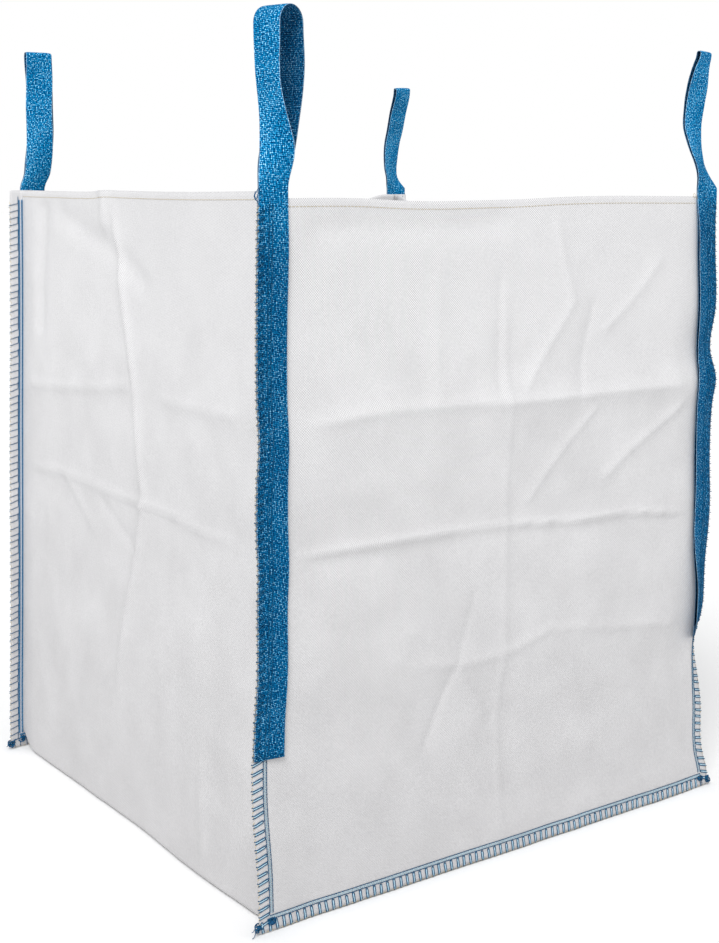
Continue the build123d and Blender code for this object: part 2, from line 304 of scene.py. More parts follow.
class NodeBench:
    """A material's node tree with short calls for the nodes that the finishes share."""

    def __init__(self, name: str) -> None:
        """Starts an empty material with a Principled shader.

        Args:
            name: Material name.
        """
        self.material = bpy.data.materials.new(name)
        self.material.use_nodes = True
        self.tree = self.material.node_tree
        self.tree.nodes.clear()
        self.shader = self.tree.nodes.new("ShaderNodeBsdfPrincipled")
        output = self.tree.nodes.new("ShaderNodeOutputMaterial")
        self.tree.links.new(self.shader.outputs[0], output.inputs["Surface"])

    def wire(self, socket: bpy.types.NodeSocket, value: object) -> None:
        """Links value to socket if it is a socket, and otherwise sets it.

        Args:
            socket: Input to feed.
            value: A socket, or a number, vector or colour.
        """
        if isinstance(value, bpy.types.NodeSocket):
            self.tree.links.new(value, socket)
        else:
            socket.default_value = value

    def math(self, operation: str, a: object, b: object = 0.0, c: object = 0.0) -> bpy.types.NodeSocket:
        """A Math node.

        Args:
            operation: Blender's name of the operation.
            a: First value or socket.
            b: Second value or socket.
            c: Third value or socket.

        Returns:
            Its output.
        """
        node = self.tree.nodes.new("ShaderNodeMath")
        node.operation = operation
        for socket, value in zip(node.inputs, (a, b, c)):
            self.wire(socket, value)
        return node.outputs[0]

    def pattern(self) -> tuple:
        """The piece's own pattern coordinates, in metres.

        Returns:
            Distance along the piece, distance across it, and both as one vector.
        """
        uv = self.tree.nodes.new("ShaderNodeUVMap")
        uv.uv_map = "pattern"
        parts = self.tree.nodes.new("ShaderNodeSeparateXYZ")
        self.wire(parts.inputs[0], uv.outputs[0])
        return parts.outputs[0], parts.outputs[1], uv.outputs[0]

    def noise(self, vector: object, scale: float, detail: float = 2.0,
              rough: float = 0.5) -> bpy.types.NodeSocket:
        """Fractal noise of about 0 to 1.

        Args:
            vector: Coordinates, in metres.
            scale: Cells in a metre.
            detail: Octaves.
            rough: Share kept by each octave.

        Returns:
            The noise value.
        """
        node = self.tree.nodes.new("ShaderNodeTexNoise")
        self.wire(node.inputs["Vector"], vector)
        node.inputs["Scale"].default_value = scale
        node.inputs["Detail"].default_value = detail
        node.inputs["Roughness"].default_value = rough
        return node.outputs["Fac"]

    def place(self) -> bpy.types.NodeSocket:
        """Object coordinates, in metres."""
        return self.tree.nodes.new("ShaderNodeTexCoord").outputs["Object"]

    def ramp(self, value: object, stops: tuple) -> bpy.types.NodeSocket:
        """A colour ramp.

        Args:
            value: What it reads.
            stops: (place, (red, green, blue)) pairs, linear colour.

        Returns:
            The colour.
        """
        node = self.tree.nodes.new("ShaderNodeValToRGB")
        self.wire(node.inputs[0], value)
        elements = node.color_ramp.elements
        while len(elements) < len(stops):
            elements.new(0.5)
        for element, (position, colour) in zip(elements, stops):
            element.position = position
            element.color = (*colour, 1.0)
        return node.outputs[0]

    def mix(self, factor: object, a: object, b: object, blend: str = "MIX") -> bpy.types.NodeSocket:
        """Mixes two colours.

        Args:
            factor: Share of b.
            a: First colour.
            b: Second colour.
            blend: Blender's name of the way they mix.

        Returns:
            The mixed colour.
        """
        node = self.tree.nodes.new("ShaderNodeMix")
        node.data_type = "RGBA"
        node.blend_type = blend
        self.wire(node.inputs["Factor"], factor)
        for name, value in (("A", a), ("B", b)):
            socket = next(s for s in node.inputs if s.name == name and s.type == "RGBA")
            self.wire(socket, (*value, 1.0) if isinstance(value, tuple) else value)
        return next(s for s in node.outputs if s.type == "RGBA")

    def bump(self, height: object, distance: float, strength: float = 1.0) -> None:
        """Sends a height to the shader's normal.

        Args:
            height: Height, 0 to 1.
            distance: Metres that a height of 1 stands for.
            strength: Share of the effect.
        """
        node = self.tree.nodes.new("ShaderNodeBump")
        node.inputs["Distance"].default_value = distance
        node.inputs["Strength"].default_value = strength
        self.wire(node.inputs["Height"], height)
        self.wire(self.shader.inputs["Normal"], node.outputs[0])


@dataclass(frozen=True)
class ClothFinish:
    """Coated woven polypropylene: flat tapes crossing one over one, under a thin milky coating."""

    light: tuple = (0.96, 0.955, 0.965)
    dark: tuple = (0.42, 0.415, 0.42)
    # Painted shade: this colour is multiplied into the cloth towards the floor.
    low_painted_shade: tuple = (0.79, 0.785, 0.785)
    tape: float = 2.0 * MM
    relief: float = 0.25 * MM
    roughness: float = 0.6

    def make(self) -> bpy.types.Material:
        """Builds the material.

        The weave's height is the product of two sine waves, one along and one across the cloth. Its
        strength comes and goes with a slow noise, and painted shade greys the cloth a little towards the
        floor.

        Returns:
            The material.
        """
        bench = NodeBench("woven_cloth")
        along, across, _ = bench.pattern()
        waves = [bench.math("SINE", bench.math("MULTIPLY", c, math.pi / self.tape)) for c in (along, across)]
        weave = bench.math("MULTIPLY", *waves)
        place = bench.place()
        fibre = bench.noise(place, 330.0, 2.0)
        cloud = bench.noise(place, 11.0, 3.0, 0.55)
        parts = bench.tree.nodes.new("ShaderNodeSeparateXYZ")
        bench.wire(parts.inputs[0], place)
        rise = bench.math("MULTIPLY_ADD", bench.math("SUBTRACT", cloud, 0.5), 0.5, parts.outputs[2])
        higher = bench.math("MULTIPLY_ADD", rise, 0.85, 0.1)
        clear = bench.math("MULTIPLY", bench.noise(place, 26.0, 2.0), higher)
        tone = bench.math("MULTIPLY_ADD", bench.math("MULTIPLY", weave, clear), 0.80, 0.53)
        tone = bench.math("MULTIPLY_ADD", bench.math("SUBTRACT", fibre, 0.5), 0.30, tone)
        tone = bench.math("MULTIPLY_ADD", bench.math("SUBTRACT", cloud, 0.5), 0.12, tone)
        colour = bench.ramp(tone, ((0.0, self.dark), (1.0, self.light)))
        # Painted shade: the colour darkens towards the floor, broken up by a slow noise.
        painted_shade_tint = bench.ramp(rise, ((0.0, self.low_painted_shade), (0.85, (1.0, 1.0, 1.0))))
        bench.wire(bench.shader.inputs["Base Color"], bench.mix(1.0, colour, painted_shade_tint, "MULTIPLY"))
        height = bench.math("ADD", bench.math("MULTIPLY", weave, 0.5), bench.math("MULTIPLY", fibre, 0.45))
        bench.bump(height, self.relief)
        bench.shader.inputs["Roughness"].default_value = self.roughness
        bench.shader.inputs["Sheen Weight"].default_value = 0.08
        bench.shader.inputs["Sheen Roughness"].default_value = 0.4
        bench.shader.inputs["Specular IOR Level"].default_value = 0.3
        return bench.material


@dataclass(frozen=True)
class WebbingFinish:
    """Woven polypropylene webbing: a dense twill with bright flecks where the yarns crown."""

    deep: tuple = (0.0, 0.022, 0.085)
    body: tuple = (0.0, 0.105, 0.275)
    bright: tuple = (0.008, 0.27, 0.55)
    fleck: tuple = (0.35, 0.68, 0.88)
    # pressed and free multiply the legs' and the loop's colour; free is painted light on the loop.
    pressed: tuple = (0.90, 0.90, 0.90)
    free: tuple = (1.75, 1.65, 1.55)
    # inside: painted shade, multiplied into the inner face's colour.
    inside: tuple = (0.42, 0.42, 0.46)
    selvedge: tuple = (0.50, 0.70, 0.88)
    yarn: float = 2.8 * MM
    width: float = 50.0 * MM
    relief: float = 0.7 * MM

    def make(self) -> bpy.types.Material:
        """Builds the material.

        The yarns' crowns are the product of two slanting sine waves, broken up by noise of about a yarn's
        size. Where both are high the colour runs up to a pale fleck, and a pale line follows both selvedges.
        The free loop, halfway along the webbing, is brighter than its two legs by painted light. The
        webbing's inner face, whose pattern is one metre further across, is darker by painted shade.

        Returns:
            The material.
        """
        bench = NodeBench("lifting_webbing")
        along, across, uv = bench.pattern()
        inner = bench.math("GREATER_THAN", across, INNER_FACE / 2)
        across = bench.math("SUBTRACT", across, inner)
        turn = math.pi / self.yarn
        ways = ((bench.math("ADD", along, across), turn),
                (bench.math("SUBTRACT", along, across), turn * 1.15))
        slants = [bench.math("SINE", bench.math("MULTIPLY", place, rate)) for place, rate in ways]
        crown = bench.math("MULTIPLY", *slants)
        grain = bench.noise(uv, 360.0, 1.5, 0.55)
        wear = bench.noise(uv, 24.0, 3.0, 0.6)
        tone = bench.math("MULTIPLY_ADD", crown, 0.17, grain)
        tone = bench.math("MULTIPLY_ADD", bench.math("SUBTRACT", wear, 0.5), 0.18, tone)
        stops = ((0.36, self.deep), (0.46, self.body), (0.55, self.body), (0.65, self.bright),
                 (0.75, self.fleck))
        off, on = (0.0,) * 3, (1.0,) * 3
        # Painted light: the free loop's colour is multiplied brighter than the legs'.
        loop = bench.ramp(bench.math("MULTIPLY", along, 0.5),
                          ((0.36, off), (0.42, on), (0.64, on), (0.70, off)))
        loop_painted_light = bench.mix(loop, self.pressed, self.free)
        colour = bench.mix(1.0, bench.ramp(tone, stops), loop_painted_light, "MULTIPLY")
        # Painted shade: the inner face's colour is multiplied by the inside colour.
        colour = bench.mix(inner, colour, bench.mix(1.0, colour, self.inside, "MULTIPLY"))
        rim = bench.math("GREATER_THAN", bench.math("ABSOLUTE", across), self.width / 2 - 1.0 * MM)
        pale = bench.math("MULTIPLY", rim, bench.math("MULTIPLY", grain, 0.9))
        bench.wire(bench.shader.inputs["Base Color"], bench.mix(pale, colour, self.selvedge))
        height = bench.math("ADD", bench.math("MULTIPLY", crown, 0.5), bench.math("MULTIPLY", grain, 0.8))
        bench.bump(height, self.relief)
        bench.shader.inputs["Roughness"].default_value = 0.7
        bench.shader.inputs["Specular IOR Level"].default_value = 0.03
        return bench.material


@dataclass(frozen=True)
class ThreadFinish:
    """Twisted multi-filament sewing thread."""

    name: str
    colour: tuple
    shade: tuple
    twist: float = 2.2 * MM
    roughness: float = 0.5

    def make(self) -> bpy.types.Material:
        """Builds the material.

        The plies are a wave that climbs as it goes round the thread, over fine fibre noise.

        Returns:
            The material.
        """
        bench = NodeBench(self.name)
        along, around, _ = bench.pattern()
        turn = TAU / self.twist
        climb = bench.math("MULTIPLY", around, 2 * TAU / THREAD_ROUND)
        phase = bench.math("ADD", bench.math("MULTIPLY", along, turn), climb)
        ply = bench.math("MULTIPLY_ADD", bench.math("SINE", phase), 0.5, 0.5)
        fibre = bench.noise(bench.place(), 700.0, 2.0)
        tone = bench.math("ADD", bench.math("MULTIPLY", ply, 0.5), bench.math("MULTIPLY", fibre, 0.5))
        colour = bench.ramp(tone, ((0.2, self.shade), (0.7, self.colour)))
        bench.wire(bench.shader.inputs["Base Color"], colour)
        bench.bump(ply, 0.25 * MM)
        bench.shader.inputs["Roughness"].default_value = self.roughness
        bench.shader.inputs["Specular IOR Level"].default_value = 0.2
        return bench.material


@dataclass(frozen=True)
class FloorFinish:
    """Plain pale studio floor."""

    colour: tuple = (0.93, 0.93, 0.93)

    def make(self) -> bpy.types.Material:
        """Builds the material, with a trace of mottling.

        Returns:
            The material.
        """
        bench = NodeBench("studio_floor")
        cloud = bench.noise(bench.place(), 2.0, 2.0)
        soft = tuple(c * 0.99 for c in self.colour)
        bench.wire(bench.shader.inputs["Base Color"], bench.ramp(cloud, ((0.0, soft), (1.0, self.colour))))
        bench.shader.inputs["Roughness"].default_value = 0.9
        bench.shader.inputs["Specular IOR Level"].default_value = 0.1
        return bench.material


@dataclass
class Wardrobe:
    """Every finish of the bag, made once."""

    made: dict = field(default_factory=dict)

    def __post_init__(self) -> None:
        """Makes the materials."""
        self.made = {
            Finish.CLOTH: ClothFinish().make(),
            Finish.WEBBING: WebbingFinish().make(),
            Finish.OVERLOCK: ThreadFinish("overlock_thread", (0.0, 0.135, 0.30), (0.0, 0.035, 0.10)).make(),
            Finish.SEAM: ThreadFinish("seam_thread", (0.004, 0.26, 0.55), (0.0, 0.10, 0.27)).make(),
            Finish.COVER: ThreadFinish("cover_thread", (0.66, 0.84, 0.93), (0.34, 0.64, 0.82)).make(),
            Finish.PALE: ThreadFinish("pale_thread", (0.78, 0.66, 0.42), (0.50, 0.42, 0.27)).make(),
            Finish.KNOT: ThreadFinish("knot_thread", (0.006, 0.115, 0.26), (0.001, 0.03, 0.09)).make(),
        }

    def dress(self, piece: bpy.types.Object, finish: Finish, body: str | None = "bag") -> bpy.types.Object:
        """Gives a piece its finish, and its body if one is given.

        Args:
            piece: The piece.
            finish: Its finish.
            body: The body that it rides on, or None.

        Returns:
            The piece.
        """
        slot = finish.value[0].value
        piece.data.materials.append(self.made[finish])
        if body:
            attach(piece, body)
        LOG.info("%s: %d faces, %s", piece.name, len(piece.data.polygons), slot)
        return piece


# ------------------------------------------------------------------ the bag's form

@dataclass(frozen=True)
class Fold:
    """A crease pressed into a panel along a broken line, in metres across and up the panel.

    height is how far its crest stands out, or in if negative. A sharp crease dies away on both sides as
    exp(-d/width), and a soft one as exp(-(d/width)^2), with d the distance from the line.
    """

    line: tuple
    height: float
    width: float = 9.0 * MM
    soft: bool = False

    def lift(self, across: np.ndarray, up: np.ndarray) -> np.ndarray:
        """Outward displacement of the cloth near the crease.

        Args:
            across: Distance across the panel.
            up: Height.

        Returns:
            Displacement in metres.
        """
        nearest = np.full(across.shape, 9.0)
        place = np.zeros(across.shape)
        marks = np.array(self.line)
        spans = np.linalg.norm(np.diff(marks, axis=0), axis=1)
        before = np.concatenate([[0.0], np.cumsum(spans)])
        for (a, u), step, span, start in zip(marks[:-1], np.diff(marks, axis=0), spans, before):
            t = np.clip(((across - a) * step[0] + (up - u) * step[1]) / span ** 2, 0, 1)
            away = np.hypot(across - a - t * step[0], up - u - t * step[1])
            place = np.where(away < nearest, start + t * span, place)
            nearest = np.minimum(away, nearest)
        run = before[-1]
        fade = ease((place + 0.01) / (0.12 * run)) * ease((run + 0.01 - place) / (0.12 * run))
        off = nearest / self.width
        return self.height * fade * np.exp(-off ** 2 if self.soft else -off)


@dataclass(frozen=True)
class PanelRelief:
    """How one panel bulges, is pleated from packing, and creases.

    pleats are (height, outward) marks joined by straight lines. swell and crumple are the amplitudes of
    broad and of fine unevenness.
    """

    folds: tuple
    pleats: tuple
    seed: int
    swell: float = 3.0 * MM
    crumple: float = 1.5 * MM

    def lift(self, across: np.ndarray, up: np.ndarray) -> np.ndarray:
        """Outward displacement of the whole panel before its edges hold it.

        Args:
            across: Distance across the panel.
            up: Height.

        Returns:
            Displacement in metres.
        """
        wander_a = 5.0 * MM * lattice_noise(across, up, 0.11, self.seed)
        wander_u = 5.0 * MM * lattice_noise(across, up, 0.13, self.seed + 1)
        a, u = across + wander_a, up + wander_u
        heights, outs = np.array(self.pleats).T
        uneven = 1.0 + 0.6 * lattice_noise(across, up, 0.23, self.seed + 2)
        total = np.interp(u, heights, outs) * uneven
        total = total + self.swell * lattice_noise(across, up, 0.21, self.seed + 3)
        for cell, share in ((0.095, 1.0), (0.047, 0.45), (0.021, 0.16)):
            ridges = 0.5 - np.abs(lattice_noise(a, u, cell, self.seed + int(cell * 1000)))
            total = total + self.crumple * share * ridges
        for fold in self.folds:
            total = total + fold.lift(a, u)
        return total


FRONT_RELIEF = PanelRelief(
    folds=(
        Fold(((-0.42, 0.738), (-0.22, 0.742), (-0.02, 0.739), (0.42, 0.733)), 7.0 * MM, 11 * MM),
        Fold(((-0.46, 0.546), (-0.22, 0.545), (-0.01, 0.541), (0.20, 0.526), (0.46, 0.511)),
             8.0 * MM, 5 * MM),
        Fold(((-0.21, 0.348), (-0.09, 0.328), (0.0, 0.335), (0.09, 0.352), (0.43, 0.312)), 4.0 * MM, 8 * MM),
        Fold(((-0.10, 0.335), (-0.16, 0.206)), -3.7 * MM, 8 * MM),
        Fold(((-0.10, 0.335), (-0.04, 0.24)), 3.4 * MM, 7 * MM),
        Fold(((-0.10, 0.335), (-0.20, 0.40)), 2.8 * MM, 7 * MM),
        Fold(((-0.10, 0.335), (-0.07, 0.44)), -2.5 * MM, 7 * MM),
        Fold(((-0.014, 0.95), (-0.010, 0.55), (-0.008, 0.02)), 2.8 * MM, 7 * MM),
        Fold(((0.42, 0.724), (0.21, 0.588)), 4.7 * MM, 9 * MM),
        Fold(((0.184, 0.717), (0.03, 0.568)), 3.7 * MM, 9 * MM),
        Fold(((0.09, 1.033), (0.125, 0.894), (0.018, 0.747)), 4.0 * MM, 10 * MM),
        Fold(((0.17, 0.892), (0.138, 0.737)), -3.4 * MM, 9 * MM),
        Fold(((0.334, 0.954), (0.193, 0.841)), 3.7 * MM, 10 * MM),
        Fold(((-0.147, 0.95), (-0.147, 0.75)), 2.5 * MM, 6 * MM),
        Fold(((-0.025, 0.95), (-0.028, 0.75)), -2.2 * MM, 6 * MM),
        Fold(((-0.40, 1.02), (-0.20, 1.018), (0.0, 1.024)), -4.7 * MM, 22 * MM, soft=True),
    ),
    pleats=((0.0, 0.0), (0.33, 4 * MM), (0.545, -3 * MM), (0.738, 5 * MM), (1.07, -1 * MM)),
    seed=11,
)
LEFT_RELIEF = PanelRelief(
    folds=(
        Fold(((0.07, 1.07), (0.02, 0.908), (-0.03, 0.754), (-0.05, 0.567), (-0.005, 0.39), (0.035, 0.207)),
             9.3 * MM, 10 * MM),
        Fold(((0.42, 0.706), (0.20, 0.728), (-0.03, 0.752)), 6.2 * MM, 9 * MM),
        Fold(((-0.12, 0.742), (-0.36, 0.741)), 4.7 * MM, 10 * MM),
        Fold(((0.43, 0.560), (0.25, 0.562), (-0.01, 0.556), (-0.13, 0.556), (-0.36, 0.549)),
             6.5 * MM, 8 * MM),
        Fold(((0.11, 0.536), (-0.02, 0.474)), -4.0 * MM, 8 * MM),
        Fold(((0.25, 0.553), (0.14, 0.486)), 3.7 * MM, 8 * MM),
        Fold(((0.30, 1.04), (0.02, 0.957), (-0.08, 0.905)), -5.3 * MM, 22 * MM, soft=True),
        Fold(((0.35, 1.06), (0.358, 0.80)), -6.2 * MM, 22 * MM, soft=True),
        Fold(((-0.258, 0.20), (-0.256, 0.04)), 4.0 * MM, 14 * MM, soft=True),
        Fold(((0.10, 1.09), (0.09, 1.02)), 6.2 * MM, 16 * MM, soft=True),
    ),
    pleats=((0.0, 3 * MM), (0.10, 4 * MM), (0.35, 2 * MM), (0.555, -3 * MM), (0.745, 4 * MM), (1.08, 0.0)),
    seed=23,
)
REAR_RELIEF = PanelRelief(
    folds=(
        Fold(((-0.43, 0.745), (0.05, 0.738), (0.42, 0.748)), 6.5 * MM, 9 * MM),
        Fold(((-0.43, 0.55), (-0.1, 0.541), (0.43, 0.552)), -6.2 * MM, 8 * MM),
        Fold(((-0.40, 0.33), (0.12, 0.338), (0.42, 0.325)), 4.7 * MM, 9 * MM),
        Fold(((0.02, 1.04), (0.01, 0.55), (0.03, 0.05)), -4.7 * MM, 9 * MM),
        Fold(((0.02, 0.74), (0.25, 0.90), (0.36, 1.02)), 3.7 * MM, 10 * MM),
        Fold(((-0.30, 0.55), (-0.14, 0.70)), 4.0 * MM, 9 * MM),
        Fold(((0.12, 0.338), (0.27, 0.18)), -3.7 * MM, 9 * MM),
    ),
    pleats=((0.0, 0.0), (0.33, 4 * MM), (0.545, -3 * MM), (0.742, 4 * MM), (1.07, 0.0)),
    seed=37,
)
RIGHT_RELIEF = PanelRelief(
    folds=(
        Fold(((0.02, 1.06), (-0.01, 0.74), (0.02, 0.30), (0.0, 0.06)), 7.8 * MM, 10 * MM),
        Fold(((-0.43, 0.735), (0.0, 0.742), (0.43, 0.73)), -5.6 * MM, 9 * MM),
        Fold(((-0.42, 0.55), (0.0, 0.545), (0.42, 0.556)), 6.2 * MM, 8 * MM),
        Fold(((-0.20, 0.55), (-0.33, 0.40)), 3.7 * MM, 9 * MM),
        Fold(((0.0, 0.74), (0.22, 0.93)), -4.0 * MM, 10 * MM),
    ),
    pleats=((0.0, 3 * MM), (0.10, 4 * MM), (0.35, 1 * MM), (0.55, 4 * MM), (0.74, -3 * MM), (1.08, 0.0)),
    seed=53,
)


@dataclass(frozen=True)
class CornerSag:
    """How one corner leans and bows, and how its seam allowance turns.

    along_x, along_y and turn are (height, value) marks: shifts in mm, and degrees by which the seam
    allowance swings behind the side panel's plane while the strap's other half stands off in front.
    """

    along_x: tuple
    along_y: tuple
    turn: tuple

    def shift(self, z: np.ndarray) -> np.ndarray:
        """The corner's shift along X and Y at each height.

        Args:
            z: Heights.

        Returns:
            Shifts, with one more axis of length 2.
        """
        return np.stack([through(z, self.along_x), through(z, self.along_y)], -1) * MM

    def angle(self, z: np.ndarray) -> np.ndarray:
        """The seam allowance's turn at each height, in radians, eased to nothing at the rim."""
        return np.radians(through(z, self.turn)) * ease((1.066 - z) / 0.05)


CORNER_SAGS = {
    (Side.LEFT, Face.FRONT): CornerSag(
        ((0.0, 0), (0.08, -1), (0.20, -8), (0.31, -5.5), (0.37, -1.5), (0.48, -0.8), (0.54, 1), (0.60, -1.0),
         (0.66, -0.3), (0.71, 1.5), (0.77, -1), (0.83, -1.5), (0.94, 0), (1.07, 2)),
        ((0.0, 0), (0.3, 4), (0.42, 3), (0.5, 2), (0.6, 3), (0.66, 2), (0.71, 0), (0.77, 1.5), (1.07, 0)),
        ((0.0, 0), (0.2, 3), (0.4, -2), (0.6, 4), (0.8, -2), (1.0, 2))),
    (Side.RIGHT, Face.FRONT): CornerSag(
        ((0.02, 0), (0.07, -6), (0.16, -8), (0.20, -9), (0.25, -9.5), (0.34, -3.2), (0.43, -3), (0.52, -1.5),
         (0.61, -2.6), (0.70, -0.6), (0.74, 2.2), (0.79, -3.2), (0.87, 0.4), (0.97, -1.4), (1.07, -1.8)),
        ((0.02, 0), (0.07, 6), (0.16, 8), (0.20, 9), (0.25, 9.5), (0.34, 3.2), (0.43, 3), (0.52, 1.5),
         (0.61, 2.6), (0.70, 0.6), (0.74, -2.2), (0.79, 3.2), (0.87, -0.4), (0.97, 1.4), (1.07, 1.8)),
        ((0.02, 0), (0.07, 6), (0.16, 8), (0.20, 19), (0.25, 34), (0.34, 25), (0.38, 24), (0.48, 10),
         (0.60, 9), (0.70, 8), (0.74, 4), (0.79, 13), (0.87, 4), (1.0, 4))),
    (Side.LEFT, Face.REAR): CornerSag(
        ((0.0, -2), (0.3, 2), (0.6, 7), (1.07, 15)),
        ((0.0, 0), (0.4, -3), (1.07, 0)),
        ((0.0, 0), (0.3, 4), (0.55, -3), (0.8, 3), (1.0, 0))),
    (Side.RIGHT, Face.REAR): CornerSag(
        ((0.0, 0), (0.4, -5), (0.8, 4), (1.07, 0)),
        ((0.0, 0), (0.5, -5), (1.07, 0)),
        ((0.0, 0), (0.25, 9), (0.5, -4), (0.8, 6), (1.0, 0))),
}


def corner_name(side: Side, face: Face) -> str:
    """The name of a corner, as in front_left."""
    return f"{face.name}_{side.name}".lower()


@dataclass
class BagForm:
    """Sizes of the bag read from the frame, and the way its cloth has settled.

    The rim sags are (place along the rim, mm) marks.
    """

    half_width: float = 0.450
    half_depth: float = 0.450
    layer: float = 1.0 * MM
    cloth: float = 0.8 * MM
    near_panel: float = 0.25
    thread_room: float = 1.7 * MM
    right_wall_below: float = 2.0 * MM
    front_rim_sag: tuple = ((-0.45, 0.0), (-0.30, 0.5), (-0.20, 5.0), (-0.13, 5.7), (-0.06, 4.6),
                            (0.02, 3.3), (0.10, 0.3), (0.45, 0.0))
    rear_rim_sag: tuple = ((-0.40, 0.0), (-0.34, 12.0), (0.36, 13.0), (0.42, 0.0))
    left_rim_sag: tuple = ((-0.45, 0.0), (-0.2, 1.5), (0.03, 0.0), (0.09, -1.0), (0.13, 1.0), (0.3, 1.0),
                           (0.45, 0.0))
    right_rim_sag: tuple = ((-0.45, 0.0), (-0.2, 2.0), (0.0, 7.0), (0.2, 14.0), (0.40, 16.0), (0.44, 0.0))
    wall_rim: float = field(init=False)
    side_rim: float = field(init=False)
    raw_edge: float = field(init=False)
    bottom: float = field(init=False)
    strap_reach: dict = field(init=False)

    def __post_init__(self) -> None:
        """Reads the panels' and the straps' boxes."""
        side_low, side_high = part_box("front_side_panel")
        self.wall_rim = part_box("u_panel")[1].z
        self.side_rim = side_high.z
        self.raw_edge = side_high.x
        self.bottom = side_low.z + self.thread_room
        self.strap_reach = {}
        for side in Side:
            for face in Face:
                low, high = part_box(f"{corner_name(side, face)}_strap_inner_leg")
                self.strap_reach[side, face] = min(abs(low.x), abs(high.x))

    def rim(self, side: Side) -> float:
        """Height of a wall's rim. The right wall was sewn on lower, and its rim is level with the sides'."""
        return self.wall_rim if side is Side.LEFT else self.side_rim - self.right_wall_below

    @property
    def seam_allowance(self) -> float:
        """Width of the turned-out seam allowance."""
        return self.raw_edge - self.half_width

    def panel_lift(self, face: Face, x: np.ndarray, z: np.ndarray) -> np.ndarray:
        """Outward displacement of a side panel: its relief, held flat at the seams and under the straps.

        Args:
            face: Which side panel.
            x: Across the panel.
            z: Heights.

        Returns:
            Displacement in metres.
        """
        relief = FRONT_RELIEF if face is Face.FRONT else REAR_RELIEF
        reach = np.where(x < 0, self.strap_reach[Side.LEFT, face], self.strap_reach[Side.RIGHT, face])
        held = self.half_width - 4 * MM
        held = held + (reach - held) * ease((z - 0.14) / 0.10)
        return relief.lift(x, z) * ease((held - np.abs(x)) / 0.06)

    def wall_lift(self, side: Side, y: np.ndarray, z: np.ndarray) -> np.ndarray:
        """Outward displacement of a wall: its relief, held flat at the upright seams.

        Args:
            side: Which wall.
            y: Across the wall.
            z: Heights.

        Returns:
            Displacement in metres.
        """
        relief = LEFT_RELIEF if side is Side.LEFT else RIGHT_RELIEF
        return relief.lift(y, z) * ease((self.half_depth - 4 * MM - np.abs(y)) / 0.06)

    def settle(self, points: np.ndarray) -> np.ndarray:
        """Moves points of the square form as the bag has settled.

        At each height a point takes the four corners' shifts, mixed by how near it stands to each. The
        relief of a panel acts on what lies within a quarter of the way from it to the middle. Beyond a
        wall the seam allowance turns about the seam, and the rims sag between the corners.

        Args:
            points: (..., 3) points on the square form.

        Returns:
            The settled points.
        """
        x, y, z = points[..., 0], points[..., 1], points[..., 2]
        s = np.clip(x / self.half_width, -1, 1)
        t = np.clip(y / self.half_depth, -1, 1)
        moved = points.copy()
        beyond = np.clip(np.abs(x) - self.half_width, 0, None)
        for (side, face), sag in CORNER_SAGS.items():
            share = (1 + s * side.value) * (1 + t * face.value) / 4
            moved[..., :2] += share[..., None] * sag.shift(z)
            angle = sag.angle(z)
            moved[..., 0] -= share * beyond * side.value * (1 - np.cos(angle))
            moved[..., 1] -= share * beyond * face.value * np.sin(angle)
        near_side = ease((np.abs(t) - 1 + self.near_panel) / self.near_panel)
        near_wall = ease((np.abs(s) - 1 + self.near_panel) / self.near_panel)
        for face in Face:
            here = near_side * (t * face.value > 0)
            moved[..., 1] += face.value * here * self.panel_lift(face, x, z)
        for side in Side:
            here = near_wall * (s * side.value > 0)
            moved[..., 0] += side.value * here * self.wall_lift(side, y, z)
        top = ease((z - 0.75) / (self.side_rim - 0.75))
        side_sag = np.where(y < 0, through(x, self.front_rim_sag), through(x, self.rear_rim_sag))
        wall_sag = np.where(x < 0, through(y, self.left_rim_sag), through(y, self.right_rim_sag))
        moved[..., 2] -= MM * top * (side_sag * near_side + wall_sag * near_wall)
        return moved


# ------------------------------------------------------------------ cloth

def closed_sheet(shell: Shell, middle: np.ndarray, thickness: float, pattern: np.ndarray) -> None:
    """Adds a thin closed sheet about a grid of its middle surface.

    Both faces stand half the thickness off along the grid's normal, which is the cross product of its
    two rates of change, and a band joins them round the four edges.

    Args:
        shell: Where the sheet goes.
        middle: (rows, cols, 3) points of the middle surface.
        thickness: Thickness of the cloth.
        pattern: (rows, cols, 2) coordinates along and across the cloth.
    """
    rows, cols = middle.shape[:2]
    normal = unit(np.cross(np.gradient(middle, axis=0), np.gradient(middle, axis=1)))
    upper, lower = middle + normal * thickness / 2, middle - normal * thickness / 2
    count = rows * cols
    quads = grid_quads(rows, cols)
    number = np.arange(count).reshape(rows, cols)
    rim = np.concatenate([number[0, :-1], number[:-1, -1], number[-1, :0:-1], number[:0:-1, 0]])
    after = np.roll(rim, -1)
    band = np.stack([rim, after, after + count, rim + count], -1)
    points = np.concatenate([upper.reshape(-1, 3), lower.reshape(-1, 3)])
    shell.add(points, [quads[:, ::-1], quads + count, band], np.concatenate([pattern.reshape(-1, 2)] * 2))


def spread(*stops: tuple) -> np.ndarray:
    """Rising or falling values through (value, steps to the next) stops, without repeats.

    Args:
        stops: (value, steps) pairs; the last one's steps are unused.

    Returns:
        The values.
    """
    runs = [np.linspace(a, b, n, endpoint=False) for (a, n), (b, _) in zip(stops, stops[1:])]
    return np.concatenate(runs + [[stops[-1][0]]])


